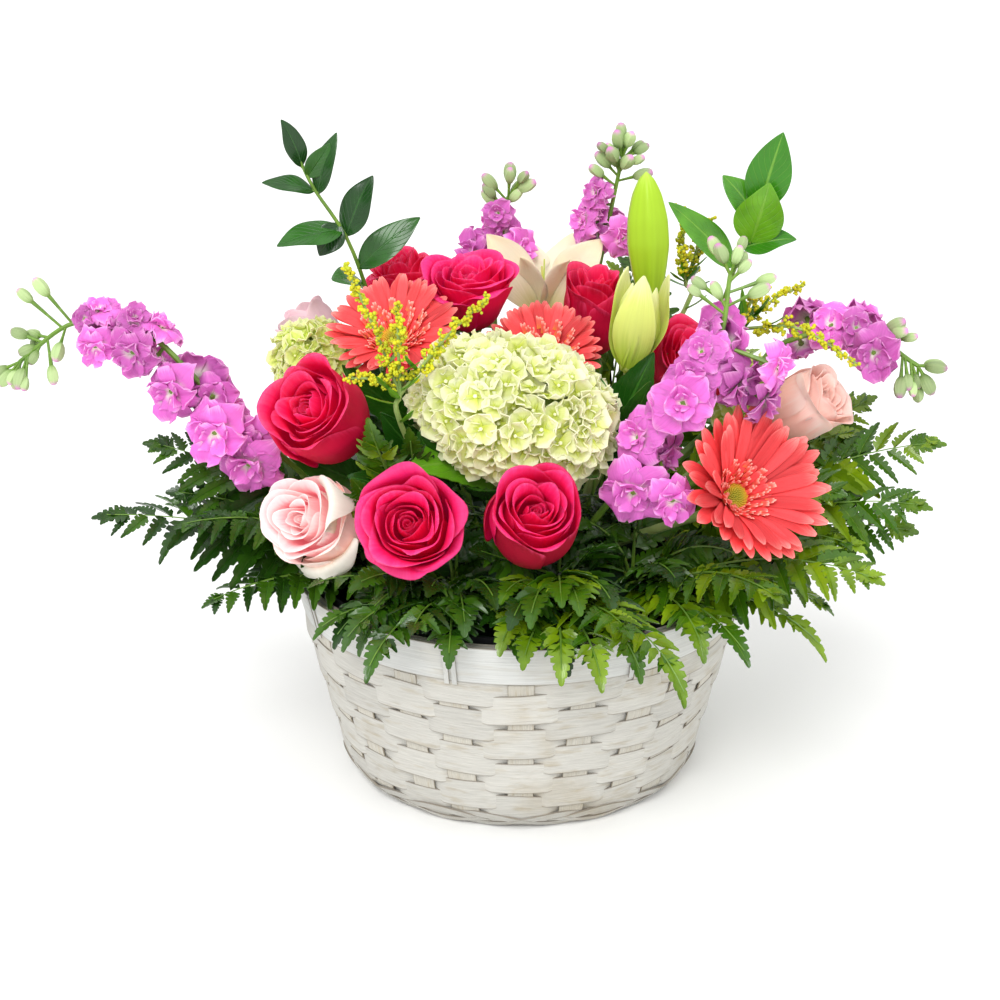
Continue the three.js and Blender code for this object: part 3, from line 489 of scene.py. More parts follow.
def ring(low, high, radiusAt, steps=240, rows=2, shade=0.5, waves=lambda turn: 0, swell=lambda turn: 1):
    # a closed band that goes round the basket
    def shape(u, v):
        turn = math.pi * u
        z = (low + high) / 2 + (high - low) * (v - 0.5) * swell(turn) + waves(turn)
        return fromFront(turn, radiusAt(turn, z, v), z)
    return merged(sheet(steps, rows, shape, shade), 0.01)


chance = random.Random(11)
stakeTurns = [math.tau * (number + chance.uniform(-0.16, 0.16)) / basket["stakes"]
              for number in range(basket["stakes"])]


def stakesBefore(turn):
    # how many stakes lie before a turn, counted in part
    knots = [stakeTurns[-1] - math.tau, *stakeTurns, stakeTurns[0] + math.tau]
    return np.interp(turn % math.tau, knots, range(-1, len(stakeTurns) + 1))


def wovenRow(row, chance):
    # a strip swells where it passes in front of a stake and is pinched where it passes behind one
    middle = basket["footZone"] + rowPitch * (row + 0.5)
    half = basket["strip"] / 2
    start = chance.uniform(0, 6)

    def inFront(turn):
        return ease(-0.86, 0.05, math.cos(math.pi * (stakesBefore(turn) + row)))

    def radiusAt(turn, z, v):
        bow = basket["weave"] * (2 * inFront(turn) - 1)
        leanIn = 1.3 * v - 0.7 + 1.5 * ease(97, 106, z)   # at its top edge, and more so under the rim
        return wallRadius(max(z, 0)) + bow * (1 - 0.7 * ease(94, 106, z)) - leanIn

    def waves(turn):
        return 1.3 * math.sin(2 * turn + start) + 0.9 * math.sin(7 * turn + 2 * start)

    def swell(turn):
        return 0.86 + 0.24 * inFront(turn) + 0.06 * math.sin(5 * turn + 3 * start)
    return ring(middle - half, middle + half, radiusAt, 336, 3, chance.random(), waves, swell)


def stake(number, chance):
    # upright splint, set out where the row at its side passes behind it
    middle = stakeTurns[number]
    wide = basket["stakeWide"] * chance.uniform(0.85, 1.12)

    def shape(u, v):
        z = 1.5 + (wallTop - 2) * (u + 1) / 2
        row = (z - basket["footZone"]) / rowPitch - 0.5
        over = -math.cos(math.pi * (row + number)) if z > basket["footZone"] else 0
        r = wallRadius(z) + 0.7 * over - 1.6 * ease(94, 104, z)
        return fromFront(middle + (v - 0.5) * wide / r, r, z)
    return sheet(48, 3, shape, chance.random())


def footStrip(number, chance):
    # narrow strips that cross each other round the foot
    start = math.tau * number / basket["footStrips"]

    def radiusAt(turn, z, v):
        return wallRadius(max(z, 0)) + 1.5 + 1.2 * math.cos(7 * turn + 2 * start)
    return ring(4.8, 8.8, radiusAt, 288, 1, chance.random(), lambda turn: 4.2 * math.sin(7 * turn + start))


wall = [fleshed(dress(part(number, chance), finish), thick, 0)
        for part, finish, thick, count in ((wovenRow, chipWood, basket["splint"], basket["rows"]),
                                           (stake, stakeWood, basket["splint"], basket["stakes"]),
                                           (footStrip, chipWood, basket["footSplint"], basket["footStrips"]))
        for number in range(count)]
settle(joined(wall), "basket_wall_weave", ["basket_wall"])
print("basket woven:", basket["rows"], "rows over", basket["stakes"], "stakes")


def bandRadius(z):
    slope = (basket["rimRadius"] - basket["bandRadius"]) / basket["bandHeight"]
    return basket["bandRadius"] + slope * (z - wallTop)


def hoopBand(outside, thick, wobble, shade):
    # a broad splint bent round the rim, with softly rounded edges
    band = ring(wallTop + 0.3, basket["height"], lambda turn, z, v: bandRadius(z) - outside
                + wobble * math.sin(5 * turn + shade * 9) - 0.3 * (2 * v - 1) ** 2, 240, 6, shade)
    return fleshed(dress(band, hoopWood), thick, 0, -1)


def bindingStrip(middle, shade):
    # a narrow strip folded over the rim and down both its faces
    proud, deep = 0.7, 7.0
    top = basket["height"] + 0.6
    fold = [(bandRadius(wallTop) + proud, wallTop - 1), (bandRadius(wallTop + 12) + proud, wallTop + 12),
            (bandRadius(top) + proud - 0.2, top - 1.4), (bandRadius(top) - 0.8, top),
            (bandRadius(top) - deep + 1, top), (bandRadius(top) - deep, top - 1.5),
            (bandRadius(top) - deep - 1.2, wallTop + 8)]

    def shape(u, v):
        r, z = onLine(fold, (u + 1) / 2)
        return fromFront(middle + (v - 0.5) * basket["tieWide"] / r, r, z)
    return fleshed(dress(sheet(18, 2, shape, shade), hoopWood), basket["tieThick"], 0)


strips = []
for number in range(basket["ties"]):
    middle = math.tau * (number + 0.62) / basket["ties"] + math.pi / 2
    for side in (-1, 1):
        turn = middle + side * basket["tieGap"] / 2 / basket["rimRadius"]
        strips.append(bindingStrip(turn, chance.random()))
settle(joined([hoopBand(0, basket["hoop"], 0.25, 0.8), *strips]), "rim_band_outer_splint",
       ["rim_band_outer"])
settle(hoopBand(basket["hoop"] + 2.4, basket["hoop"], 0.15, 0.3), "rim_band_inner_splint",
       ["rim_band_inner"])

# the thin black tub that keeps the water in, with a rolled lip
tub = {"top": 133, "lip": 131.2, "wall": 1.2, "foot": 101.4, "floor": 4.6}
plastic = leafFinish("linerPlastic", "#141516", "#1a1b1c", "#1f2122", 0, 0, 0.4, 0.35, 0.15)
outline = [(0.01, tub["floor"]), (tub["foot"] * 0.6, tub["floor"]), (tub["foot"], tub["floor"]),
           (tub["foot"] + 4, tub["floor"] + 8), (tub["lip"] - 1.5, tub["top"] - 8),
           (tub["lip"], tub["top"] - 1), (tub["lip"] + 0.4, tub["top"]),
           (tub["lip"] - 1.4, tub["top"] + 0.2)]


liner = merged(sheet(96, 14, lambda u, v: fromFront(math.pi * u, *onLine(outline, v))), 0.05)
settle(fleshed(dress(liner, plastic), tub["wall"], 0, -1), "liner_tub", ["liner"])

# the block of wet foam, with its corners worn round
foam = {"radius": 80, "bottom": 5.7, "top": 142, "round": 5}
foamGreen = leafFinish("foamGreen", "#24472a", "#1b3620", "#2f5a33", 0, 0, 0.9, 0.95, 1.0)
bpy.ops.mesh.primitive_cylinder_add(vertices=72, radius=foam["radius"], depth=foam["top"] - foam["bottom"],
                                    location=(0, 0, (foam["top"] + foam["bottom"]) / 2))
block = bpy.context.object
bpy.ops.object.transform_apply(location=True)
rounding = block.modifiers.new("corners", "BEVEL")
rounding.width = foam["round"]
rounding.segments = 3
bpy.ops.object.modifier_apply(modifier="corners")
tint(block, 0.4)
settle(dress(block, foamGreen), "foam_block", ["foam"])

# the flat bottom of the basket stays the solid itself, in its own wood
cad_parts["basket_base"].data.materials.clear()
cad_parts["basket_base"].data.materials.append(bottomWood)
print("basket bound, lined and filled")

# stems go into the foam as their bend lies, and meet each bloom along its own axis
planting = {"deep": 32, "edge": 12, "above": 5, "steps": 5}


def stemLine(base, way, neck=22, entry=None):
    bend = base - way * neck
    aim = Vector((*entry, 0)) if entry else Vector((bend.x, bend.y, 0))
    mouth = aim.normalized() * (foam["radius"] - planting["edge"]) * min(1, aim.length / 150) ** 0.8
    mouth.z = foam["top"]
    end = mouth * 0.8
    end.z = foam["top"] - planting["deep"]
    above = mouth + (mouth - end).normalized() * planting["above"]
    return smoothLine([end, above, bend, base], planting["steps"])


# roses: a rolled heart inside whorls of petals, whose lips turn out more from whorl to whorl
closed = [(0, 72), (0.2, 44), (0.45, 8), (0.7, -14), (0.88, -24), (1, -16)]
lipped = [(0, 80), (0.2, 54), (0.45, 18), (0.68, 8), (0.82, 24), (0.92, 58), (1, 92)]
turned = [(0, 76), (0.2, 48), (0.45, 12), (0.7, -10), (0.84, 12), (0.93, 46), (1, 80)]
rolled = [(0, 82), (0.2, 60), (0.42, 24), (0.64, 14), (0.78, 40), (0.89, 84), (1, 136)]
cupped = [(0, 86), (0.18, 66), (0.4, 26), (0.62, -4), (0.8, -4), (0.9, 34), (1, 88)]
fallen = [(0, 85), (0.25, 64), (0.45, 40), (0.62, 55), (0.8, 100), (1, 150)]


def whorlsOf(*rows):
    return [dict(zip(("petals", "radius", "top", "span", "bends", "curl", "slope"), row)) for row in rows]


whorls = whorlsOf((3, 0.20, 0.93, 84, closed, 0, 0.1), (3, 0.31, 0.98, 84, closed, 0.02, 0.14),
                  (3, 0.46, 1.02, 86, turned, 0.04, 0.14), (4, 0.64, 1.02, 70, turned, 0.08, 0.12),
                  (4, 0.84, 0.98, 74, lipped, 0.12, 0.10), (5, 1.08, 0.88, 60, rolled, 0.16, 0.08))
cupWhorls = whorls[:3] + whorlsOf((4, 0.62, 1.03, 72, turned, 0.07, 0.12),
                                  (4, 0.80, 1.02, 76, cupped, 0.08, 0.10),
                                  (4, 1.0, 0.95, 78, cupped, 0.10, 0.07))
budWhorls = whorlsOf((3, 0.24, 1.0, 88, closed, 0, 0.14), (3, 0.40, 1.03, 88, turned, 0.02, 0.14),
                     (3, 0.56, 1.04, 90, turned, 0.04, 0.14), (3, 0.74, 1.0, 92, lipped, 0.06, 0.12),
                     (4, 0.90, 0.93, 80, lipped, 0.08, 0.10), (4, 1.0, 0.82, 80, cupped, 0.10, 0.08))
rose = {"petalSteps": 24, "flesh": 0.55, "warp": 0.05, "sepals": 5, "hipTall": 9.35, "stalk": 2.6}


def petalLine(bends, steps):
    # (radius, height) along a petal of length 1, from the lean away from the axis at each share
    line = [(0.0, 0.0)]
    for i in range(steps):
        lean = math.radians(along(bends, (i + 0.5) / steps))
        line.append((line[-1][0] + math.sin(lean) / steps, line[-1][1] + math.cos(lean) / steps))
    return line


def rosePetal(radius, top, turn, span, bends, curl, slope, chance, shade):
    line = petalLine(bends, rose["petalSteps"])
    wide = max(r for r, z in line)
    tall = max(z for r, z in line)
    start, wave, notch = chance.uniform(0, 6), chance.uniform(0.4, 1.3), chance.uniform(-0.4, 0.4)
    point, tip = chance.uniform(0.03, 0.13), chance.uniform(-0.08, 0.05)
    foot = 0.12 * radius + 1.2

    def shape(u, v):
        # the lip comes to a blunt point where it curls the most, and its corners are round
        share = v * (1 - 0.17 * abs(u) ** 2.4 - point * ease(0, 0.6, abs(u - notch)))
        r, z = onLine(line, share)
        lip = ease(0.6, 1, share)
        side = abs(u - notch)
        r = foot + (radius - foot) * r / wide * (1 - 0.06 * lip * side)
        r += radius * curl * lip * (side ** 1.5 - 0.4)
        z = top * z / tall - lip * radius * curl * 1.3 * side ** 2 + lip * wave * math.sin(3.1 * u + start)
        ruffle = 0.03 * math.sin(5 * u + start) + 0.02 * lip * math.sin(11 * u + 2 * start)
        r *= 1 + slope * u + wave * lip * ruffle
        r += tip * lip * radius
        return polar(turn + math.radians(span) * u * (0.4 + 0.6 * ease(0, 0.42, share)), r, z)
    return sheet(10, 12, shape, shade)


def roseHeart(radius, top, chance):
    # one long petal rolled round itself
    start = chance.uniform(0, 6)

    def shape(u, v):
        share = (u + 1) / 2
        angle = start + share * 2.4 * math.tau
        r = (0.6 + share * radius) * (0.45 + 0.55 * ease(0, 0.5, v)) * (1 - 0.12 * ease(0.7, 1, v))
        return polar(angle, r, top * v * (0.93 + 0.07 * share) + 0.5 * v * math.sin(2 * angle))
    return sheet(44, 5, shape, 0.3)


def roseBloom(width, height, rows, seed, finishes, heart=(), falling=(), fallingFinishes=()):
    chance = random.Random(seed)
    heart = heart or finishes
    inner = [dress(roseHeart(0.14 * width / 2, 0.87 * height, chance), *heart)]
    outer, loose = [], []
    for number, whorl in enumerate(rows):
        start = chance.uniform(0, math.tau)
        vary = 0.04 + 0.015 * number   # the outer petals differ the most
        for i in range(whorl["petals"]):
            turn = start + math.tau * (i + chance.uniform(-0.2, 0.2)) / whorl["petals"]
            petal = rosePetal(
                width / 2 * whorl["radius"] * chance.uniform(1 - vary, 1 + 0.6 * vary),
                height * whorl["top"] * chance.uniform(1 - vary, 1 + 0.5 * vary),
                turn, whorl["span"] * chance.uniform(0.95, 1.08), whorl["bends"],
                whorl["curl"] * chance.uniform(0.5, 1.6), whorl["slope"], chance, chance.random())
            if whorl is not rows[-1]:
                inner.append(dress(petal, *heart))
            else:
                outer.append(dress(petal, *finishes))
    for turn, reach, top, span in falling:   # outer petals that stand off from the rest
        petal = rosePetal(width / 2 * reach, height * top, math.radians(turn), span, fallen, 0.12, 0.04,
                          chance, chance.random())
        loose.append(dress(petal, *(fallingFinishes or finishes)))
    groups = [group for group in (inner, outer, loose) if group]
    bloom = joined([fleshed(joined(group), rose["flesh"], 1, 0, 1) for group in groups])
    noise.seed_set(seed + 1)   # zero would take the clock's time as its seed
    for point in bloom.data.vertices:   # the whole bloom is slightly warped, so no whorl stays a circle
        push = noise.noise_vector(point.co * 0.055 + Vector((seed, 0, 0)))
        point.co += push * rose["warp"] * width * ease(0.15, 0.8, point.co.z / height)
    return bloom


# the green under a rose: a hip with five sepals that turn down
def sepal(turn, chance):
    lean = chance.uniform(0.7, 1.25)

    def shape(u, v):
        half = 2.6 * (1 - v) ** 0.7 * (0.6 + 0.4 * ease(0, 0.2, v)) + 0.25
        r = 5.2 + 9.5 * math.sin(1.9 * v) * lean + 1.5 * abs(u) * v
        return polar(turn, r, 7.5 + 5 * math.sin(2.2 * v) - 13 * lean * v * v, half * u)
    return fleshed(dress(sheet(2, 7, shape, chance.uniform(0.3, 0.7)), stemGreen), 0.6, 1)


def hip():
    rings = [(2.6, -1), (3.6, 1.5), (6.4, 4.5), (7.2, 7), (6.2, 9.4), (2.5, 10.4), (0.02, 10.5)]
    return dress(sheet(16, 12, lambda u, v: polar(math.pi * u, *onLine(rings, v)), 0.4), stemGreen)


def rosePair(name, slotName, finishes, at, look, width, height, entry=None, spin=None, rows=whorls, **rest):
    way = facing(*look)
    base = Vector(at) - way * height / 2
    seed = int(abs(at[0]) * 7 + at[2])
    spin = at[0] if spin is None else spin
    bloom = roseBloom(width, height, rows, seed, finishes, **rest)
    settle(bloom, name + "_petals", [name + "_bloom"], frameAt(base, way, up, spin))
    chance = random.Random(seed + 1)
    seat = base - way * rose["hipTall"]
    greens = [hip(), *[sepal(math.tau * (i + 0.3) / rose["sepals"], chance) for i in range(rose["sepals"])]]
    for piece in greens:
        piece.data.transform(frameAt(seat, way, up, spin))
    line = stemLine(seat, way, 12, entry)
    greens.append(dress(stalks([(line, [rose["stalk"]] * len(line))]), stemGreen))
    settle(joined(greens), name + "_stalk", [name + "_stem"])


# rose petals: the last number of each is a painted glow, its own colour given off as light; the darker feet
# and backs of the pink, rosy and crimson petals are partly the roses' own deeper colour and partly painted
# shade in the hollow of the bloom and on its underside
pinkFace = petalFinish("pinkFace", "#e00050", "#f8126a", "#fc3c84", 0.78, glow=0.6, paintedGlow=0.04)
pinkBack = petalFinish("pinkBack", "#b80038", "#de084e", "#fb3c80", 0.86, glow=0.5, paintedGlow=0.02)
rosyFace = petalFinish("rosyFace", "#d8004c", "#f41060", "#fa4084", 0.82, glow=0.6, paintedGlow=0.04)
rosyBack = petalFinish("rosyBack", "#80001c", "#a8042c", "#f84c80", 0.88, glow=0.1)
crimsonFace = petalFinish("crimsonFace", "#dc0044", "#fa0c54", "#fc4478", 0.8, glow=0.6, paintedGlow=0.06)
crimsonBack = petalFinish("crimsonBack", "#a8002a", "#d0063c", "#fe4478", 0.86, glow=0.3)
blushHeart = petalFinish("blushHeart", "#ff8494", "#ff9eaa", "#ffd2d2", 0.68, glow=0.5, paintedGlow=0.13)
blushFace = petalFinish("blushFace", "#ffaab0", "#ffc2c2", "#ffe6e2", 0.7, glow=0.4, paintedGlow=0.1)
blushBack = petalFinish("blushBack", "#f4e2c4", "#fcd2c8", "#ffeae0", 0.8, glow=0.3, paintedGlow=0.08)
creamFace = petalFinish("creamFace", "#efdcae", "#f8ead0", "#f8efe0", 0.6, glow=0.4)
creamBack = petalFinish("creamBack", "#c8d08c", "#e8eac4", "#f4f0da", 0.6, glow=0.4)
peachFace = petalFinish("peachFace", "#fa9c8c", "#fbb2a4", "#ffd0c4", 0.6, glow=0.5, paintedGlow=0.06)
peachBack = petalFinish("peachBack", "#f8c2a6", "#fdb6a6", "#ffd2c6", 0.6, glow=0.4)
mauveFace = petalFinish("mauveFace", "#b87d90", "#d8a5b2", "#ecc6cd", 0.55)
mauveBack = petalFinish("mauveBack", "#b8a88a", "#d6a8b4", "#e8c5cd", 0.6)
pink, rosy, crimson = (pinkBack, pinkFace), (rosyBack, rosyFace), (crimsonBack, crimsonFace)

rosePair("rose_blush", "petal_blush", (blushBack, blushFace), (-117, -76, 181), (-30, 26), 59, 54,
         spin=0, rows=budWhorls, heart=(blushFace, blushHeart), fallingFinishes=(creamBack, creamFace),
         falling=[(-58, 1.2, 0.5, 50), (-104, 1.14, 0.42, 44), (30, 1.1, 0.98, 44)])
rosePair("rose_pink_left", "petal_pink", pink, (-59, -115, 193), (-8, 30), 69, 52, heart=(pinkBack, rosyFace))
rosePair("rose_pink_right", "petal_pink", rosy, (6, -116, 196), (5, 42), 63, 56, rows=cupWhorls,
         heart=(pinkBack, rosyFace))
rosePair("rose_crimson_left", "petal_crimson", crimson, (-114, -62, 239), (-25, 35), 67, 57, rows=cupWhorls,
         heart=(pinkBack, crimsonFace))
rosePair("rose_pink_top", "petal_pink", pink, (-30, 23, 291), (0, 66), 62, 44)
rosePair("rose_crimson_back", "petal_crimson", crimson, (-70, 49, 288), (-60, 70), 48, 46)
rosePair("rose_crimson_centre", "petal_crimson", crimson, (45, 40, 276), (20, 72), 48, 56, (30, 30),
         rows=cupWhorls)
rosePair("rose_crimson_right", "petal_crimson", crimson, (101, 5, 250), (10, 45), 58, 54, rows=cupWhorls)
rosePair("rose_peach", "petal_peach", (peachBack, peachFace), (166, -26, 236), (60, 35), 47, 43,
         rows=cupWhorls)
rosePair("rose_mauve", "petal_mauve", (mauveBack, mauveFace), (-128, 56, 254), (-130, 50), 46, 44,
         rows=cupWhorls)
print("roses opened")


# gerberas: a domed disc, short florets round it, and three rings of long grooved rays
gerbera = {"florets": 210, "floretRows": 5, "rowStep": 2.9, "discFlorets": 150, "discRadius": 8.2,
           "flesh": 0.45, "bracts": 26, "stalk": 2.7, "neck": 3.6, "seat": 7.35}


def ray(foot, reach, wide, lift, bend, turn, chance, shade):
    twist, start = chance.uniform(-0.12, 0.12), chance.uniform(0, 6)
    lift = math.radians(lift + chance.uniform(-5, 5))
    bend = math.radians(bend + chance.uniform(-8, 8))
    swing = chance.uniform(-0.05, 0.05)

    def shape(u, v):
        half = wide / 2 * (0.3 + 0.7 * math.sin(math.pi * min(v, 0.62) / 1.24) ** 0.8)
        half *= 1 if v < 0.8 else math.sqrt(max(1 - ((v - 0.8) / 0.205) ** 2, 0.05))
        out = reach * v
        lean = lift - bend * v / 2
        r = foot + out * math.cos(lean)
        z = out * math.sin(lean)
        side = half * u
        z += 0.14 * wide * u * u - 0.06 * wide * math.cos(2 * math.pi * u)   # grooved along it
        z += twist * side + 0.4 * math.sin(5 * v + start)
        return polar(turn + swing * v, r, z, side)
    return sheet(4, 9, shape, shade)


def gerberaPair(name, at, look, rayLength, cup, entry=None):
    chance = random.Random(int(abs(at[0]) * 5 + 3))
    way = facing(*look)
    # each ring: its rays, the radius of their feet, their share of the length, width, lift and bend
    rings = [(28, 7.5, 1, 0.165, 4, 20), (28, 7.2, 0.97, 0.15, 9, 18), (20, 7.0, 0.44, 0.07, 12, 4)]
    pieces = []
    for number, (count, foot, share, wide, lift, bend) in enumerate(rings):
        for i in range(count):
            turn = math.tau * (i + 0.5 * number + chance.uniform(-0.2, 0.2)) / count
            reach = (rayLength * share - 8) * chance.uniform(0.93, 1.04)
            petal = ray(foot, reach, wide * rayLength, cup + lift, bend, turn, chance, chance.random())
            petal.location.z = 0.5 * number
            pieces.append(dress(petal, coral))
    rays = fleshed(joined(pieces), gerbera["flesh"], 1)
    choose([rays])
    bpy.ops.object.transform_apply()
    short = sheet(2, 4, lambda u, v: Vector((0.85 * u * (1 - 0.55 * v), 0.3 * u * u, v)))
    short = patternOf(fleshed(short, 0.3, 0))
    copies = []
    slope = math.radians(cup + 8)
    for i in range(gerbera["florets"]):   # in rows inside the cup of rays, leaning out
        row = i % gerbera["floretRows"]
        rise = gerbera["rowStep"] * row
        lean = slope + math.radians(34 - 5 * row + chance.uniform(-9, 9))
        out = polar(golden * i, 1, 0)
        foot = out * (7.6 + rise * math.cos(slope)) + up * (1.2 + rise * math.sin(slope))
        lie = out * math.cos(lean) + up * math.sin(lean)
        place = frameAt(foot, lie, out * -1) @ Matrix.Diagonal((1, 1, chance.uniform(5.5, 7.5), 1))
        copies.append((short, place, chance.random()))
    florets = dress(scattered(copies), coralShort)
    bead = patternOf(discFloret())
    copies = []
    for i in range(gerbera["discFlorets"]):
        share = math.sqrt((i + 0.5) / gerbera["discFlorets"])
        r, out = gerbera["discRadius"] * share, polar(golden * i, 1, 0)
        foot = out * r + up * (2.8 - 1.3 * share ** 2)
        copies.append((bead, frameAt(foot, up + out * r * 0.09) @ Matrix.Scale(0.8 + 0.05 * r, 4), share))
    disc = dress(scattered(copies), discYellow)
    turn = frameAt(at, way)
    settle(joined([rays, florets, disc]), name + "_flower", [name + "_rays"], turn)
    seat = Vector(at) - way * gerbera["seat"]
    line = stemLine(seat - way * 5, way, 20, entry)
    stem = dress(stalks([([*line, seat], [gerbera["stalk"]] * len(line) + [gerbera["neck"]])]), stemPale)
    bracts = []
    for i in range(gerbera["bracts"]):
        row = i / gerbera["bracts"]
        shape = bract(polar(golden * i, 1, 0), 4.5 + 3 * row, -6.5 + 3.5 * row)
        bracts.append(fleshed(dress(sheet(2, 4, shape, chance.random()), stemGreen), 0.4, 0))
    under = joined(bracts)
    under.data.transform(turn)
    settle(joined([stem, under]), name + "_stalk", [name + "_stem"])


def bract(out, r, z):
    across = up.cross(out)

    def shape(u, v):
        half = 1.5 * (1 - v) ** 0.6
        return out * (r + 4.5 * v) + up * (z + 4.0 * v - 1.4 * v * v) + across * half * u
    return shape


def discFloret():
    bpy.ops.mesh.primitive_cone_add(vertices=5, radius1=0.75, radius2=0.35, depth=1.6, location=(0, 0, 0.5))
    floret = bpy.context.object
    bpy.ops.object.transform_apply(location=True)
    return tint(floret, 0.5)


coral = petalFinish("coral", "#dc2c2a", "#f04a4e", "#ff8c86", 0.8, 1.0, glow=0.2)
coralShort = petalFinish("coralShort", "#f0924c", "#fb7468", "#ffb8aa", 0.7, 0.3)
discYellow = leafFinish("discYellow", "#b4b436", "#d8d24c", "#e0b838", 0, 0, 0.6, 0.6, 0.2)
gerberaPair("gerbera_left", (-74, -12, 272), (-3, 55), 42, 28)
gerberaPair("gerbera_centre", (14, 2, 257), (0, 52), 38, 30)
gerberaPair("gerbera_right", (119, -86, 200), (29, 34), 55, 44)
print("gerberas opened")


# hydrangeas: a dome of four-sepalled florets, each cupped its own way
hydrangea = {"kinds": 4, "dome": 1.72, "lumps": 0.07, "inset": 1.5, "coreInset": 9, "lean": 0.42, "stalk": 3}


def hydrangeaFloret(chance):
    pieces = []
    for i in range(4):
        turn, size = math.tau * i / 4 + chance.uniform(-0.15, 0.15), chance.uniform(0.88, 1.08)
        dip, lean = chance.uniform(0.1, 0.32), chance.uniform(-0.1, 0.3)

        def shape(u, v):
            half = (0.16, 0.5, 0.62, 0.4)[round(v * 3)]
            r = size * (v - 0.2 * u * u * ease(0.5, 1, v))
            z = lean * v * v + dip * u * u * v - 0.12 * math.sin(math.pi * v) + 0.03 * i
            return polar(turn, r, z, size * half * u)
        pieces.append(fleshed(sheet(2, 3, shape), 0.06, 0))
    return patternOf(joined([*pieces, ball(0.14, 0.12, 5, 3, 0.5)]))


def hydrangeaPair(name, finish, at, look, halves, florets, size, roll=0, leaves=(), entry=None):
    # halves are the head's half width, half depth and height over its middle
    tall = halves[2]
    chance = random.Random(florets)
    kinds = [hydrangeaFloret(chance) for kind in range(hydrangea["kinds"])]
    way = facing(*look)
    turn = frameAt(at, way, up, roll)
    copies, feet = [], []
    for i in range(florets):
        z = 1 - hydrangea["dome"] * (i + 0.5) / florets
        out = polar(golden * i, math.sqrt(1 - z * z), z)
        lump = 1 + hydrangea["lumps"] * noise.noise(out * 2.6 + Vector((florets, 0, 0)))
        spot = Vector([part * (half - hydrangea["inset"]) for part, half in zip(out, halves)]) * lump
        normal = Vector([part / half for part, half in zip(out, halves)]).normalized()
        lean = strayed(chance, hydrangea["lean"])
        scale = size * chance.uniform(0.85, 1.15)
        kind = chance.choice(kinds)
        foot = spot - normal * chance.uniform(0, 3)
        place = frameAt(foot, normal + up * 0.3 + lean, up, chance.uniform(0, 90)) @ Matrix.Scale(scale, 4)
        copies.append((kind, place, chance.random()))
        feet.append(([Vector((0, 0, -tall * 0.4)), spot * 0.55, spot - normal], [1.3, 0.8, 0.6]))
    heads = dress(scattered(copies), finish)
    twigs = dress(stalks(feet[::3], 0.7, 0), stemPale)
    for piece in (heads, twigs):
        piece.data.transform(turn)
    bpy.ops.mesh.primitive_ico_sphere_add(subdivisions=3, radius=1)   # the shaded inside of the head
    core = dress(tint(bpy.context.object, 0.1), hydrangeaInside)
    core.data.transform(turn @ Matrix.Diagonal((*[half - hydrangea["coreInset"] for half in halves], 1)))
    settle(joined([heads, core]), name + "_heads", [name + "_florets"])
    seat = Vector(at) - way * (tall - 7 + 0.9)
    line = stemLine(seat - way * 5, way, 10, entry)
    stem = dress(stalks([([*line, seat + way * 4], [hydrangea["stalk"]] * (len(line) + 1))]), stemGreen)
    settle(joined([stem, twigs, *leaves]), name + "_stalk", [name + "_stem"])


# leaves: a blade between its base and tip, folded on its midrib; top is the way its face looks
def blade(base, tip, wide, top, finish, shade=0.5, arch=0.07, fold=0.12, wave=0.0, teeth=0,
          full=0.42, depth=0.5, rows=14):
    base, tip = Vector(base), Vector(tip)
    long = (tip - base).length
    turn = frameAt(base, tip - base, top)
    start = shade * 9
    power = math.log(0.5) / math.log(full)

    def shape(u, v):
        half = wide / 2 * math.sin(math.pi * min(v, 1) ** power) ** 0.85 + 0.35
        if teeth:
            half *= 1 + 0.16 * ((v * teeth) % 1 - 0.5) * (1 - 0.6 * v)
        x = -half * u
        y = fold * abs(x) + arch * long * 4 * v * (1 - v)
        y += wave * math.sin(9 * v + start) * u * u * wide * 0.2
        return turn @ Vector((x, y, long * v))
    return fleshed(dress(sheet(4, teeth * 4 or rows, shape, shade), finish), depth, 0 if teeth else 1)


# the last number of each sepal finish is a painted glow: its own colour given off as light
sepalCream = petalFinish("sepalCream", "#bcc84a", "#dadf92", "#eeeec2", 0.56, 0.4, 0.65, 0.4, 0.05)
sepalLime = petalFinish("sepalLime", "#b0c23c", "#ced872", "#e4e8a4", 0.62, 0.3, 0.65, 0.5, 0.05)
hydrangeaInside = leafFinish("hydrangeaInside", "#8fa650", "#7e964a", "#a3b660", 0, 0, 0.7, 0.8, 0.5)
leafBright = leafFinish("leafBright", "#347a10", "#7cb03c", "#6aa81e", 8, 0.8, 0.5, 0.28)
# a darker copy of the bright leaf finish, painted shade for the ruscus on the left
leafShaded = leafFinish("leafShaded", "#123c0e", "#2c6020", "#2c641a", 8, 0.8, 0.5, 0.24)
leafBroad = leafFinish("leafBroad", "#1d500f", "#44802a", "#3c7c1c", 9, 0.9, 0.5, 0.26)
frontLeaf = blade((-2, -18, 198), (-64, -92, 219), 42, (0.2, -0.9, 0.9), leafBright,
                  0.7, 0.05, 0.14, 0.15, 14)
darkLeaves = [
    ((-48, -40, 196), (-80, -66, 244), 24, (-0.2, -1, 0.4)),
    ((-56, -44, 184), (-98, -84, 212), 24, (-0.3, -1, 0.6)),
    ((-44, -50, 190), (-58, -78, 236), 22, (0.1, -1, 0.4)),
    ((24, -40, 190), (42, -90, 214), 24, (0.2, -0.8, 1)),
    ((-20, -44, 184), (-24, -92, 206), 26, (0, -0.7, 1)),
    ((-90, -30, 186), (-136, -50, 214), 24, (-0.3, -0.8, 0.8)),
    ((-62, -8, 220), (-104, -30, 262), 22, (-0.4, -1, 0.4)),
    ((62, -36, 200), (84, -66, 232), 24, (0.3, -1, 0.5))]
darkLeaves = [blade(*leaf, leafBroad, 0.1 * i, 0.05, 0.14, 0.2, 10) for i, leaf in enumerate(darkLeaves)]
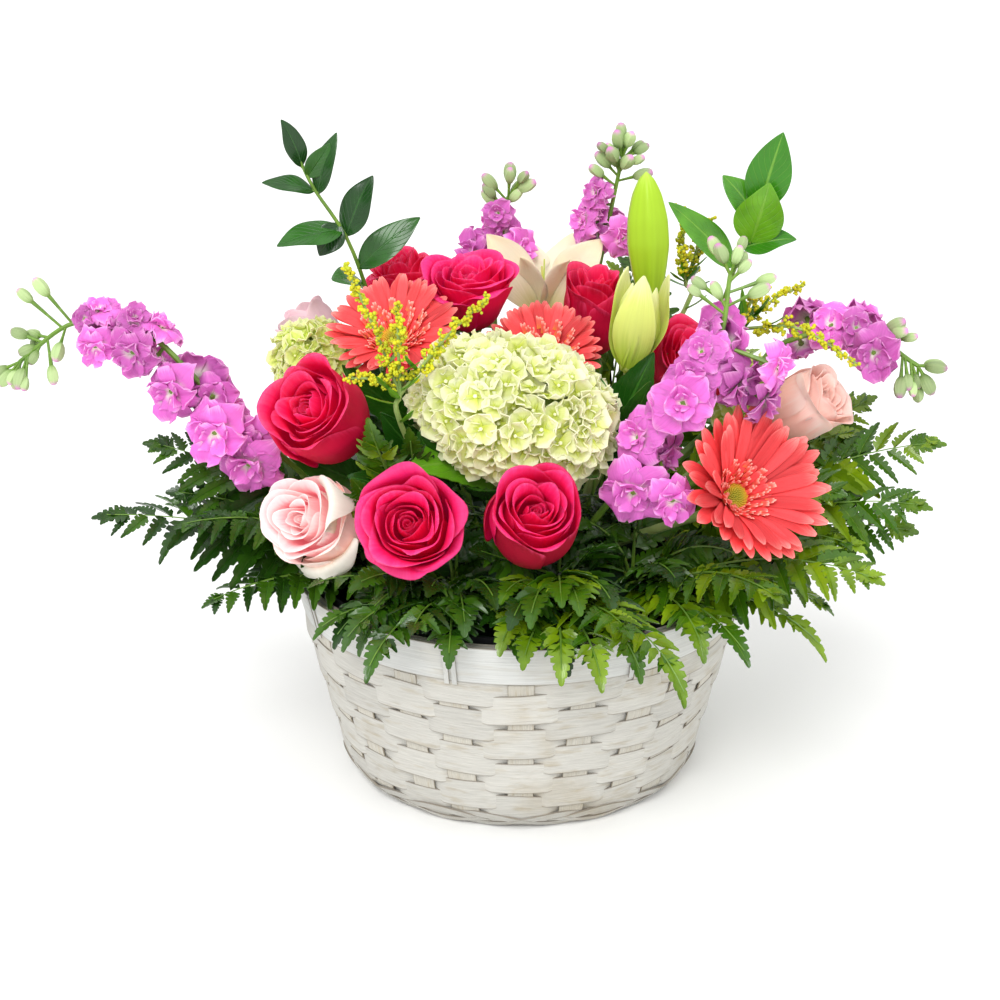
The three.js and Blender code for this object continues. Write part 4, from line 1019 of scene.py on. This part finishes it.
hydrangeaPair("hydrangea_front", sepalCream, (-4, -62, 244), (0, 32), (58, 41, 38), 230, 9.2, -18,
              [frontLeaf, *darkLeaves])
hydrangeaPair("hydrangea_left", sepalLime, (-124, 2, 256), (-40, 60), (27, 25, 24), 76, 7.6)
hydrangeaPair("hydrangea_right", sepalLime, (141, 26, 227), (45, 45), (26, 25, 24), 72, 7.6)
print("hydrangeas filled")


# stocks: doubled, ruffled florets round a stem that ends in buds
stock = {"stem": 2.3, "taper": 1.0, "flesh": 0.035, "faceFront": 0.35, "budLong": 6}


def ruffledFloret(chance):
    rows = [(5, 1.0, 2, 1.04), (4, 0.85, 28, 1.04), (4, 0.58, 54, 1.1), (2, 0.34, 72, 1.3)]
    pieces = []
    for number, (count, long, lift, wide) in enumerate(rows):
        for i in range(count):
            turn = math.tau * (i + 0.5 * number + chance.uniform(-0.14, 0.14)) / count
            size, tilt = long * chance.uniform(0.86, 1.1), math.radians(lift + chance.uniform(-20, 20))
            start, fold = chance.uniform(0, 6), chance.uniform(-0.22, 0.34)

            def shape(u, v):
                half = wide * size * (0.1 + 0.42 * ease(0, 0.6, v))
                half *= math.sqrt(1 - ((v - 0.5) / 0.56) ** 2) if v > 0.5 else 1
                out = size * v * (1 - 0.16 * u * u * v)
                lean = tilt - 0.45 * v * v
                z = out * math.sin(lean) + 0.11 * v * v * math.sin(4.2 * u + start) + fold * u * u * v
                z += 0.05 * v ** 3 * math.sin(9 * u + 2 * start)
                return polar(turn, 0.06 + out * math.cos(lean), z, half * u)
            pieces.append(fleshed(sheet(6, 4, shape), stock["flesh"], 0))
    return patternOf(joined(pieces))


def rounded(profile, sides, rings, ribs, depth):
    # a closed body turned from (radius, height) stops, made from a sphere's rings
    bpy.ops.mesh.primitive_uv_sphere_add(segments=sides, ring_count=rings, radius=1)
    body = bpy.context.object
    stops = [(i / (len(profile) - 1), Vector(stop)) for i, stop in enumerate(profile)]
    for point in body.data.vertices:
        turn = math.atan2(point.co.y, point.co.x)
        r, z = along(stops, math.acos(max(-1, min(1, -point.co.z))) / math.pi)
        point.co = polar(turn, r * (1 - depth * abs(math.cos(ribs * turn / 2))), z)
    return tint(body, 0.5)


def nearestOn(line, spot):
    nearest = [a.lerp(b, min(max((spot - a).dot(b - a) / (b - a).length_squared, 0), 1))
               for a, b in zip(line, line[1:])]
    return min(nearest, key=lambda there: (spot - there).length)


def stockSpray(name, path, entry, florets, buds, extra=0, seed=0):
    chance = random.Random(seed)
    path = smoothLine(path, 8)
    start = stemLine(path[0], (path[1] - path[0]).normalized(), 8, entry)
    line = start + path[1:]
    stems = [(line, [stock["stem"] - stock["taper"] * i / len(line) for i in range(len(line))])]
    spots = [(Vector(floret[:3]), floret[3]) for floret in florets]
    for i in range(extra):
        near, size = spots[i % len(florets)]
        other = spots[(i + 1) % len(florets)][0] if i % len(florets) < len(florets) - 1 else near
        middle = near.lerp(other, chance.uniform(0.3, 0.7))
        foot = nearestOn(path, middle)
        away = strayed(chance, 1).normalized()
        way = ((middle - foot).normalized() * 0.7 + away).normalized()
        spots.append((foot + way * size * chance.uniform(0.75, 1.0), size * chance.uniform(0.72, 0.9)))
    copies = []
    for spot, size in spots:
        foot = nearestOn(path, spot)
        way = (spot - foot).normalized()
        lean = (way + Vector((0, -stock["faceFront"], 0.1))).normalized()
        kind = chance.choice(stockKinds)
        place = frameAt(spot - lean * size * 0.35, lean, up, chance.uniform(0, 90))
        copies.append((kind, place @ Matrix.Scale(size * chance.uniform(1.0, 1.2), 4), chance.random()))
        stems.append(([foot, foot.lerp(spot, 0.5), spot - lean * size * 0.3], [0.9, 1.3, 2.2]))
    heads = dress(scattered(copies), stockLilac)
    knobs = []
    last = (path[-1] - path[-3]).normalized()
    buds = [Vector(bud) for bud in buds]
    more = [bud.lerp(path[-1] + last * 6, 0.25 + 0.35 * (i % 2)) + strayed(chance, 4)
            for i, bud in enumerate(buds + buds)]
    for spot in buds + more:
        foot = nearestOn(path, spot - last * 9)
        way = (spot - foot).normalized()
        size = chance.uniform(0.8, 1.2)
        place = frameAt(spot - way * stock["budLong"] * size, way) @ Matrix.Scale(size, 4)
        knobs.append((stockBud, place, chance.random()))
        stems.append(([foot, foot.lerp(spot, 0.4), spot - way * 5 * size], [0.8, 0.9, 1.3]))
    tops = dress(scattered(knobs), budTipped)
    green = dress(stalks(stems, 0.5, 1), stemGreen)
    settle(joined([heads, tops, green]), name + "_spray", [name])


stockLilac = petalFinish("stockLilac", "#fbf0e6", "#d86cc2", "#f2a2de", 0.78, 1.0, 0.6, 0.3)
budTipped = petalFinish("budTipped", "#7d9c54", "#a6bc84", "#d88cc8", 0.7, 0.9, 0.6)
stockKinds = [ruffledFloret(random.Random(seed)) for seed in (1, 2, 3, 4)]
budProfile = [(0, 0), (1.8, 0.4), (3.2, 2.6), (3.9, 5.6), (3.5, 8.8), (2.0, 10.9), (0, 11.6)]
stockBud = patternOf(rounded(budProfile, 8, 7, 4, 0.14))
stockSpray("stock_left", [
    (-128, -34, 196), (-170, -48, 240), (-215, -40, 284), (-255, -38, 289), (-289, -38, 266)], (-120, -22), [
    (-158, -64, 208, 18), (-176, -70, 230, 17), (-186, -36, 256, 17), (-202, -62, 252, 17),
    (-204, -36, 290, 15), (-222, -58, 274, 15), (-240, -40, 300, 12), (-242, -54, 276, 12)], [
    (-273, -38, 310), (-264, -48, 274), (-282, -30, 280), (-284, -50, 256), (-298, -38, 256)], 9, 1)
stockSpray("stock_mid_left", [(-16, 92, 280), (-14, 98, 310), (-7, 100, 337)], (-20, 80), [
    (-32, 90, 304, 15), (4, 86, 306, 15), (-20, 116, 306, 15), (-14, 86, 329, 10)],
    [(-6, 98, 353), (-19, 98, 347), (5, 94, 345)], 3, 2)
stockSpray("stock_mid_right", [(50, 88, 290), (55, 82, 320), (63, 78, 364)], (50, 84), [
    (36, 78, 326, 14), (66, 66, 316, 14), (52, 104, 318, 15), (45, 74, 344, 10)], [
    (62, 75, 381), (47, 72, 358), (76, 70, 356), (51, 72, 372), (73, 80, 372)], 3, 3)
stockSpray("stock_front", [
    (58, -66, 200), (84, -88, 246), (108, -78, 288), (115, -62, 322)], (60, -60), [
    (60, -110, 208, 17), (83, -118, 206, 15), (60, -94, 238, 17), (86, -110, 262, 18), (124, -92, 266, 18),
    (112, -56, 290, 14), (96, -96, 288, 13), (144, -92, 276, 15), (138, -86, 256, 14)], [
    (94, -74, 316), (130, -74, 316), (106, -62, 338), (122, -54, 338)], 8, 4)
stockSpray("stock_right", [
    (134, -22, 214), (146, -12, 264), (194, -24, 281), (230, -32, 262)], (110, -14), [
    (178, -28, 287, 15), (200, -48, 272, 15), (200, -8, 286, 15), (172, 8, 284, 15)], [
    (216, -40, 284), (240, -36, 262), (218, -44, 252), (232, -30, 244)], 4, 5)
print("stocks set")


# lilies: one open, one in lime bud, one parting
lily = {"open": ((15, 74, 264), (0, 0, 1)), "bud": ((79, 30, 280), (-0.05, 0.05, 1)),
        "halfOpen": ((63, -24, 256), (0.16, 0.02, 1)), "fork": (52, 32, 188), "stalk": 3.0, "branch": 2.5}
back = (0, 1, 0)
tepalWhite = petalFinish("tepalWhite", "#dcd890", "#faeed0", "#f8e6c0", 0.7, 0.35, 0.45, 0.4)
tepalPale = petalFinish("tepalPale", "#a8c438", "#d4de76", "#e8eca4", 0.7, 0.4, 0.45, 0.3)
budLime = petalFinish("budLime", "#7eac18", "#a2c82a", "#bcdc58", 0.78, 0.7, 0.4)
tepals = []
tips = [(-36, -4, 55, 30), (36, -4, 52, 30), (-20, 34, 50, 27), (20, 34, 48, 27), (-15, -22, 44, 18),
        (16, -20, 42, 18)]
for i, (*tip, wide) in enumerate(tips):
    away = Vector((*tip[:2], 0)).normalized()
    sideways = i < 2   # the two at the sides turn their faces to the front
    look = Vector((-0.25 * away.x, -1, 0.5)) if sideways else -away + up * 0.8
    tepals.append(blade(away * 3, tip, wide, look, tepalWhite, 0.15 * i, 0.1, 0.16, 0.5,
                        full=0.55, depth=0.7))
stamens = [([Vector((0, 0, 4)), polar(turn, 5, 24), polar(turn, 11, 36)], [0.7, 0.6, 0.5])
           for turn in (0.4, 1.5, 2.5, 3.6, 4.6, 5.7)]
tepals += [dress(stalks(stamens, 0.5, 1), tepalPale), dress(ball(4.5, 1.5, 12, 8, 0.3), tepalPale)]
settle(joined(tepals), "lily_open_flower", ["lily_open"], Matrix.Translation(lily["open"][0]))

budProfile = [(0, 0), (5.5, 0.4), (8.2, 10), (11.5, 24), (14, 40), (13.4, 56), (10, 70), (5.5, 79), (0, 84)]
bud = dress(rounded(budProfile, 36, 26, 6, 0.1), budLime)
settle(fleshed(bud, 0, 1), "lily_bud_closed", ["lily_bud"], frameAt(*lily["bud"], back))

tepals = []
for i in range(6):
    inner = i % 2
    away = polar(math.tau * i / 6 + 0.3, 1, 0)
    tip = away * (8 if inner else 14) + up * (53 if inner else 60)
    tepals.append(blade(away * 4, tip, 21 if inner else 25, -away, tepalPale, 0.16 * i, -0.1, 0.26, 0.3,
                        full=0.44, depth=0.8))
heartProfile = [(0, 3), (6, 5), (8, 14), (9, 26), (7, 38), (0, 50)]
tepals += [dress(rounded(heartProfile, 18, 14, 6, 0.12), tepalPale),
           dress(ball(6.5, 5, 14, 8, 0.3), tepalPale)]
settle(joined(tepals), "lily_half_open_flower", ["lily_half_open"],
       frameAt(*lily["halfOpen"], back))

fork = Vector(lily["fork"])
foot = stemLine(fork, Vector((0.2, 0.1, 1)).normalized(), 14, (66, 42))
lines = [(foot + [fork], [lily["stalk"]] * (len(foot) + 1))]
for bloom, gap in (("open", 2.5), ("bud", 0.5), ("halfOpen", 0.5)):
    at, way = [Vector(part) for part in lily[bloom]]
    way.normalize()
    end = at - way * gap
    line = smoothLine([fork - up * 3, fork + (end - fork) * 0.4, end - way * 16, end], 5)
    lines.append((line, [lily["branch"]] * (len(line) - 1) + [3.4]))
lilyLeaves = [blade(base, tip, 11, top, leafBright, 0.4, 0.12, 0.2, 0.2) for base, tip, top in (
    ((66, 28, 220), (96, 8, 262), (0, -1, 1)), ((44, 44, 212), (22, 20, 250), (0, -1, 1)),
    ((30, 62, 240), (4, 62, 268), (0, -0.6, 1)))]
settle(joined([dress(stalks(lines, 0.5), stemPale), *lilyLeaves]), "lily_stalk", ["lily_stem"])
print("lilies opened")


# leafy branches
def branchOf(name, finish, path, entry, leaves, radius=1.8, teeth=0, arch=0.06):
    points = smoothLine(path, 4) if len(path) > 2 else [Vector(p) for p in path]
    line = stemLine(points[0], (points[1] - points[0]).normalized(), 10, entry) + points[1:]
    radii = [radius * (1 - 0.5 * i / len(line)) for i in range(len(line))]
    pieces = [dress(stalks([(line, radii)]), stemGreen)]
    for i, (base, tip, wide, top) in enumerate(leaves):
        base, tip = Vector(base), Vector(tip)
        pieces.append(blade(base, tip, wide, top, finish, (i * 0.37) % 1, arch, 0.14, 0.2, teeth))
        stub = ([nearestOn(line, base), base, base.lerp(tip, 0.05)], [0.9, 0.8, 0.7])
        pieces.append(dress(stalks([stub], 0.5, 1), stemGreen))
    settle(joined(pieces), name + "_branch", [name])


# the left ruscus wears the darker leaf finish, painted shade for its side of the arrangement
branchOf("ruscus_left", leafShaded, [
    (-84, 42, 240), (-92, 36, 285), (-104, 26, 325), (-122, 22, 355), (-130, 22, 372)], (-70, 40), [
    ((-129, 22, 368), (-140, 20, 396), 15, (1, -1, 0.2)),
    ((-120, 22, 352), (-108, 24, 388), 15, (-0.6, -1, 0.2)),
    ((-126, 22, 362), (-112, 22, 382), 13, (0.5, -1, 0.3)),
    ((-108, 25, 334), (-120, 18, 316), 17, (0.2, -1, 0.5)),
    ((-122, 22, 354), (-152, 14, 360), 15, (0.2, -0.6, 1)),
    ((-106, 25, 330), (-144, 8, 324), 21, (0, -0.7, 1)),
    ((-104, 26, 326), (-88, 30, 362), 21, (-0.6, -1, 0.1)),
    ((-98, 30, 306), (-60, 34, 336), 20, (-0.3, -1, 0.4)),
    ((-94, 34, 294), (-112, 8, 304), 22, (0, -0.8, 1))])
branchOf("ruscus_right", leafBright, [
    (118, 52, 240), (126, 44, 285), (134, 30, 318), (142, 26, 345)], (80, 50), [
    ((142, 26, 342), (154, 25, 388), 27, (-0.3, -1, 0.1)),
    ((140, 26, 338), (120, 30, 362), 20, (0.5, -1, 0.3)),
    ((138, 28, 322), (146, 16, 360), 30, (0, -1, 0.15)),
    ((134, 30, 318), (164, 18, 326), 20, (-0.2, -0.7, 1)),
    ((130, 36, 305), (88, 30, 346), 19, (0.5, -1, 0.3))])
branchOf("leaf_pair", leafBroad, [(44, -26, 190), (46, -28, 206)], (56, -34), [
    ((45, -26, 194), (76, -40, 272), 32, (-0.2, -1, 0.3)),
    ((45, -26, 194), (72, -66, 262), 28, (0.4, -1, 0.3)),
    ((46, -28, 206), (44, -56, 262), 34, (-0.1, -1, 0.5))], teeth=14, arch=0.05)
print("branches set")


# goldenrod: arching plumes of tiny yellow beads on short side twigs
goldenrod = {"stem": 1.5, "plume": 1.1, "twigGap": 1.9, "beadGap": 0.8, "stray": 0.75}


def goldenrodOf(name, fork, entry, plumes, neck=16):
    chance = random.Random(int(fork[0]) + 900)
    fork = Vector(fork)
    line = stemLine(fork, up, neck, entry)
    stems, beads, leaves = [(line, [goldenrod["stem"]] * len(line))], [], []

    def leafAt(spot, aim, long, wide):
        leaves.append(blade(spot, spot + Vector(aim).normalized() * long, wide, up, leafBright,
                            chance.random(), -0.05, 0.2, 0.2, depth=0.35, rows=8))

    for end, sag, wide in plumes:
        end = Vector(end)
        path = smoothLine([fork, fork.lerp(end, 0.5) + up * sag, end], 12)
        stems.append((path, [goldenrod["plume"] - 0.6 * i / len(path) for i in range(len(path))]))
        twigs = int((end - fork).length / goldenrod["twigGap"])
        for i in range(twigs):
            share = 0.12 + 0.88 * i / twigs
            place = share * (len(path) - 1)
            low = min(int(place), len(path) - 2)
            spot = path[low].lerp(path[low + 1], place - low)
            way = (path[low + 1] - path[low]).normalized()
            side = strayed(chance, 1)
            side = (side - way * side.dot(way)).normalized()
            reach = wide * (0.75 + 0.5 * chance.random()) * min(1, 0.45 + 2.2 * share) * (1.15 - share) ** 0.6
            tip = spot + (side + way * 0.8).normalized() * reach
            bow = spot.lerp(tip, 0.5) + side * reach * 0.15
            stems.append(([spot, bow, tip], [0.45, 0.4, 0.3]))
            many = reach / goldenrod["beadGap"]
            for k in range(int(many) + 2):
                part = 0.2 + 0.8 * k / (many + 1)
                there = spot.lerp(bow, part * 2) if part < 0.5 else bow.lerp(tip, part * 2 - 1)
                there += strayed(chance, goldenrod["stray"])
                place = frameAt(there, side + up) @ Matrix.Scale(chance.uniform(0.75, 1.35), 4)
                beads.append((goldBead, place, chance.random()))
        for share in (0.05, 0.2):
            aim = (chance.uniform(-1, 1), chance.uniform(-1, 0.2), 0.7)
            leafAt(path[int(share * len(path))], aim, 17, 4.5)
    for i in range(3):
        leafAt(line[-2 - 2 * i], (chance.uniform(-1, 1), chance.uniform(-1, 0.1), 0.4), 20, 5)
    heads = dress(scattered(beads), goldYellow)
    settle(joined([heads, dress(stalks(stems, 0.5, 0), stemPale), *leaves]), name + "_plumes",
           [name])


goldYellow = leafFinish("goldYellow", "#d6cc14", "#e6d822", "#b8c41c", 0, 0, 0.9, 0.6, 0.3)
bpy.ops.mesh.primitive_ico_sphere_add(subdivisions=1, radius=1.0)
goldBead = patternOf(tint(bpy.context.object, 0.5))
goldenrodOf("goldenrod_left", (-68, -80, 258), (-76, -56), [
    ((-97, -78, 332), 4, 6.5), ((-18, -80, 314), 4, 6.5), ((-96, -88, 270), 4, 6), ((-68, -86, 312), 4, 6)])
goldenrodOf("goldenrod_mid", (102, 48, 292), (70, 78), [
    ((98, 52, 340), 4, 6.5), ((116, 44, 334), 4, 6), ((98, 30, 318), 4, 6)])
goldenrodOf("goldenrod_right", (128, -16, 280), (110, -26), [
    ((168, 2, 302), 4, 6), ((188, -64, 272), 10, 6.5), ((140, -30, 312), 4, 6)], 60)
print("goldenrod set")


# leatherleaf ferns: each frond bears lobed pinnae, and arches over the rim of the basket
fern = {"mouthOut": 84, "mouthUp": 132, "endOut": 62, "endUp": 124, "stalk": 2.1, "broadFrom": 56,
        "ribSteps": 14}


def lobedLeaf(lobes, deep, fused):
    # along x from 0 to 1 and half a unit to each side; the lobes lean forward and grow together at the tip
    def shape(u, v):
        place = v * lobes
        lobe = min(int(place + 1e-6), lobes - 1)
        corner = place - lobe
        x = (lobe + (0, 0.3, 0.76, 1)[round(corner * 3)]) / lobes
        share = min(x, 1)
        half = 0.5 * (1 - share) ** 0.8 * min(1, 0.55 + 2.6 * share) + 0.03
        cut = deep + (fused - deep) * ease(0.1, 0.8, share)
        half *= (cut, 0.93, 1.02, cut)[round(corner * 3)] if v < 1 else 0.1
        ahead = (0.5, 0.55, 0.72, 0.5)[round(corner * 3)] * (1 - 0.6 * share) / lobes
        return Vector((x + abs(u) * ahead, half * u, -0.14 * x * x + 0.22 * abs(u) * half - 0.03))
    return patternOf(fleshed(sheet(2, lobes * 3, shape), 0.012, 0))


def arched(spots, rise, bend, hold, roll):
    # the plate's way over the rim: straight for a while and then down
    out, side, over = spots.T
    lean = math.radians(roll)
    angle = rise - bend * np.maximum(0, out - hold)
    held = np.minimum(out, hold)
    lift = over * math.cos(lean) + side * math.sin(lean) - side ** 2 / 260
    across = side * math.cos(lean) - over * math.sin(lean)
    far = held * math.cos(rise) + (math.sin(rise) - np.sin(angle)) / bend - lift * np.sin(angle)
    high = held * math.sin(rise) + (np.cos(angle) - math.cos(rise)) / bend + lift * np.cos(angle)
    return np.stack((far, across, high), 1)


def frond(length, width, stalk, finish, chance):
    # broad fronds bear pinnae, and narrow ones single leaflets that grow together into the tip
    broad = width > fern["broadFrom"]
    spacing, slim, last = (10, 0.46, 0.94) if broad else (6.6, 0.58, 0.78)
    kinds = pinnaKinds if broad else leafletKinds
    pairs = max(5, int((length - stalk) / spacing))
    copies = []
    for i in range(pairs):
        share = (i + 0.1) / pairs
        if share > last:
            break
        near = stalk + (length - stalk) * share
        full = width / 2 * (1 - share) ** 0.75 * min(1, 0.62 + 2.2 * share)
        for side in (-1, 1):
            lean = math.radians(64 - 20 * share + chance.uniform(-5, 5))
            long = full / math.sin(lean) * chance.uniform(0.92, 1.1)
            wide = max(long * slim, spacing * 0.9) * chance.uniform(0.92, 1.1)
            turn = (Matrix.Translation((near + side * spacing * 0.2, side * 0.4, 0))
                    @ Matrix.Rotation(side * lean, 4, "Z") @ Matrix.Rotation(chance.gauss(0, 0.2), 4, "X")
                    @ Matrix.Rotation(chance.gauss(0.03, 0.12), 4, "Y"))
            place = turn @ Matrix.Diagonal((long, wide, long, 1))
            copies.append((chance.choice(kinds), place, chance.random()))
    near = stalk + (length - stalk) * (last - 0.06)
    wide = width * (1.06 - last) ** 0.75 * (0.9 if broad else 1.0)
    size = Matrix.Diagonal((length + 3 - near, max(wide, 6), length - near, 1))
    copies.append((pinnaKinds[0], Matrix.Translation((near, 0, 0.2)) @ size, chance.random()))
    leaf = dress(scattered(copies), finish)
    shares = [i / fern["ribSteps"] for i in range(fern["ribSteps"] + 1)]
    rib = [Vector((-1 + (length - 4) * share, 0, 0.25)) for share in shares]
    return joined([leaf, dress(stalks([(rib, [1.2 - 0.9 * share for share in shares])], 0.4, 0), stemGreen)])


def sprig(foot, tip, width, top, finish, chance):
    # a small frond among the blooms, flat between its foot and tip
    foot, tip = Vector(foot), Vector(tip)
    piece = frond((tip - foot).length, width, 8, finish, chance)
    lie = Matrix(((0, 1, 0, 0), (0, 0, 1, 0), (1, 0, 0, 0), (0, 0, 0, 1)))
    piece.data.transform(frameAt(foot, tip - foot, top) @ lie)
    return piece


def fernOf(name, bearing, finish, fronds, fill=0, inward=0, sprigs=()):
    # the long fronds, and short ones between them and inwards that hide the foam and the rim
    chance = random.Random(bearing)
    out = polar(math.radians(bearing), 1, 0)
    mouth, end = out * fern["mouthOut"] + up * fern["mouthUp"], out * fern["endOut"] + up * fern["endUp"]
    stub = ([end, mouth, mouth + out * 2], [fern["stalk"], fern["stalk"], 1.6])
    pieces = [dress(stalks([stub], 0.4), stemGreen)]
    fronds = [(finish, *entry) for entry in fronds]
    # most of the short fronds, and all the inward ones under the blooms, take the painted-shade copy of the
    # fern finish
    for i in range(fill):
        fronds.append((fernShaded if i % 3 else finish, chance.uniform(-34, 34), chance.uniform(66, 92), 50, 12,
                       chance.uniform(18, 52), chance.uniform(50, 90), 28, chance.uniform(-30, 30)))
    for i in range(inward):
        fronds.append((fernShaded, 180 + chance.uniform(-62, 62), chance.uniform(70, 96), 60, 14,
                       chance.uniform(52, 80), chance.uniform(80, 100), 14))
    for tone, turn, length, width, stalk, lift, droop, hold, *rest in fronds:
        roll, reach = [*rest, 0, 0][:2]
        piece = frond(length, width, stalk, tone, chance)
        bend = math.radians(droop) / ((reach or length) - hold)
        spots = np.array([point.co[:] for point in piece.data.vertices])
        spots = arched(spots, math.radians(lift), bend, hold, roll)
        piece.data.vertices.foreach_set("co", spots.ravel())
        outwards = Matrix.Rotation(math.radians(bearing + turn), 4, "Z")
        piece.data.transform(Matrix.Translation(mouth) @ outwards)
        pieces.append(piece)
    pieces += [sprig(*entry, chance) for entry in sprigs]
    settle(joined(pieces), name + "_fronds", [name])


# a shaded and a lit copy of the one fern finish: the darker copy is painted shade, for the ferns on the left
# and for fronds under the blooms
fernShaded = leafFinish("fernShaded", "#1a3e08", "#2f5616", "#3a640e", 6, 0.9, 0.9, 0.24, 0.3)
fernLit = leafFinish("fernLit", "#356006", "#62841c", "#74920c", 6, 0.9, 0.9, 0.24, 0.3)
pinnaKinds = [lobedLeaf(6, deep, fused) for deep, fused in ((0.42, 0.72), (0.5, 0.8), (0.36, 0.7))]
leafletKinds = [lobedLeaf(3, deep, 0.86) for deep in (0.74, 0.82)]
# each frond: turn, length, width, stalk, lift, droop and hold, and where they aren't nought its roll and
# the reach that its droop is spread over
fernOf("fern_left", 197, fernShaded,
    [(-14, 164, 96, 30, 40, 26, 50, -34), (-2, 178, 96, 30, 24, 20, 50, -24), (19, 124, 80, 26, 11, 24, 48),
     (-24, 128, 84, 26, 30, 30, 48, -20), (8, 140, 80, 28, 34, 40, 48, -10),
     (-8, 140, 90, 26, 32, 24, 50, -48), (-20, 120, 84, 26, 44, 30, 48, -44), (-72, 96, 64, 20, 12, 66, 36),
     (-56, 112, 76, 24, 40, 66, 36)],
    7, 3)
fernOf("fern_front_left", 243, fernShaded,
    [(-30, 94, 44, 16, 11, 52, 50, 0, 106), (0, 106, 44, 16, 11, 52, 50, 0, 106),
     (26, 92, 44, 16, 11, 52, 50, 0, 106), (14, 96, 62, 24, 21, 34, 50), (-14, 96, 44, 16, 16, 56, 48),
     (-44, 90, 60, 22, 24, 40, 46), (52, 92, 46, 16, 18, 60, 40), (46, 82, 44, 14, 38, 60, 36)],
    8, 3, [
    ((-66, -60, 176), (-84, -100, 246), 46, (-0.2, -1, 0.3), fernLit),
    ((-60, -58, 180), (-62, -96, 240), 40, (0.2, -1, 0.3), fernShaded),
    ((-70, -56, 172), (-92, -104, 214), 44, (-0.2, -1, 0.4), fernLit)])
fernOf("fern_front", 284, fernLit,
    [(-27, 92, 44, 16, 11, 66, 52, 0, 124), (-2, 106, 44, 16, 11, 66, 52, 0, 124),
     (22, 124, 44, 16, 11, 66, 52, 0, 124), (8, 100, 66, 24, 21, 34, 50), (-14, 98, 44, 16, 14, 64, 48),
     (14, 100, 44, 16, 12, 66, 50), (-38, 86, 46, 16, 20, 60, 40), (-42, 78, 44, 14, 40, 60, 36)],
    10, 3, [
    ((14, -74, 150), (-26, -110, 178), 42, (0, -0.8, 1), fernShaded),
    ((30, -72, 150), (40, -118, 184), 44, (0.1, -0.8, 1), fernShaded)])
fernOf("fern_front_right", 322, fernLit,
    [(-22, 116, 46, 18, 10, 50, 52, 0, 132), (4, 132, 48, 18, 10, 50, 52, 0, 132),
     (28, 116, 46, 18, 10, 50, 52, 0, 132), (-12, 120, 80, 30, 25, 40, 54), (9, 156, 92, 34, 24, 36, 56, 22),
     (-32, 104, 46, 16, 14, 60, 48), (16, 124, 70, 26, 16, 50, 52)],
    8, 3)
fernOf("fern_right", 354, fernLit,
    [(-13, 172, 96, 32, 29, 32, 60, 30), (1, 188, 96, 32, 36, 30, 60, 34),
     (21, 168, 96, 32, 38, 12, 60, 30), (-24, 138, 84, 30, 26, 40, 54, 20),
     (10, 150, 84, 30, 46, 40, 56, 20), (-6, 158, 96, 28, 20, 26, 54, 50), (12, 148, 96, 28, 34, 20, 54, 56),
     (-20, 132, 90, 28, 40, 40, 54, 40), (4, 120, 80, 26, 58, 40, 50, 40), (66, 96, 64, 20, 12, 66, 36),
     (52, 112, 76, 24, 40, 66, 36)],
    7, 3)
fernOf("fern_back_right", 52, fernLit,
    [(-26, 128, 76, 24, 12, 46, 50, 0, 128), (0, 120, 76, 24, 12, 46, 50, 0, 128),
     (24, 112, 70, 24, 12, 46, 50, 0, 128), (-22, 160, 96, 30, 48, 30, 60), (18, 184, 124, 34, 72, 26, 60),
     (-40, 130, 84, 26, 30, 44, 50), (6, 130, 84, 26, 34, 50, 50), (74, 92, 64, 20, 12, 66, 34),
     (60, 112, 76, 24, 34, 76, 34), (88, 118, 78, 26, 66, 40, 50), (-74, 96, 64, 20, 14, 66, 36),
     (-58, 112, 76, 24, 40, 60, 36)],
    8, 3, [
    ((10, 66, 146), (16, 104, 232), 62, (0, 1, 0.3), fernShaded),
    ((34, 72, 146), (48, 124, 220), 60, (0.2, 1, 0.3), fernLit)])
fernOf("fern_back_left", 124, fernShaded,
    [(-24, 112, 70, 24, 12, 46, 50, 0, 128), (0, 120, 76, 24, 12, 46, 50, 0, 128),
     (26, 128, 76, 24, 12, 46, 50, 0, 128), (-16, 178, 124, 34, 74, 26, 60), (22, 160, 96, 30, 50, 30, 60),
     (42, 130, 84, 26, 30, 44, 50), (-6, 130, 84, 26, 34, 50, 50), (-64, 92, 64, 20, 12, 66, 34),
     (-52, 112, 76, 24, 34, 76, 34), (-84, 118, 78, 26, 66, 40, 50), (74, 96, 64, 20, 14, 66, 36),
     (58, 112, 76, 24, 40, 60, 36)],
    8, 3, [
    ((-16, 66, 146), (-20, 106, 236), 62, (0, 1, 0.3), fernLit),
    ((-40, 70, 146), (-60, 122, 226), 60, (-0.2, 1, 0.3), fernShaded)])
print("ferns set")

# floor and light
floorTone = bpy.data.materials.new("floorTone")
floorTone.use_nodes = True
for label, value in {"Base Color": srgb("#f4f4f3"), "Roughness": 0.9, "Specular IOR Level": 0.1}.items():
    floorTone.node_tree.nodes["Principled BSDF"].inputs[label].default_value = value
bpy.ops.mesh.primitive_plane_add(size=24, location=(0, 0, -0.0002))
floor = bpy.context.object
floor.name = "floor"
floor.data.materials.append(floorTone)

studio = [
    {"name": "key", "from": (-0.3, -1.0, 1.0), "strength": 1.8, "spread": 30},
    {"name": "fill", "from": (1.0, -0.9, 0.7), "strength": 0.3, "spread": 60},
]
for lamp in studio:
    aim = (-Vector(lamp["from"])).to_track_quat("-Z", "Y").to_euler()
    bpy.ops.object.light_add(type="SUN", location=lamp["from"], rotation=aim)
    light = bpy.context.object
    light.name = lamp["name"]
    light.data.energy = lamp["strength"]
    light.data.angle = math.radians(lamp["spread"])
world = bpy.data.worlds.new("world")
world.use_nodes = True
world.node_tree.nodes["Background"].inputs[0].default_value = (1, 1, 1, 1)
world.node_tree.nodes["Background"].inputs[1].default_value = 1.0
bpy.context.scene.world = world
bpy.context.scene.view_settings.view_transform = "Standard"
print("stage lit")
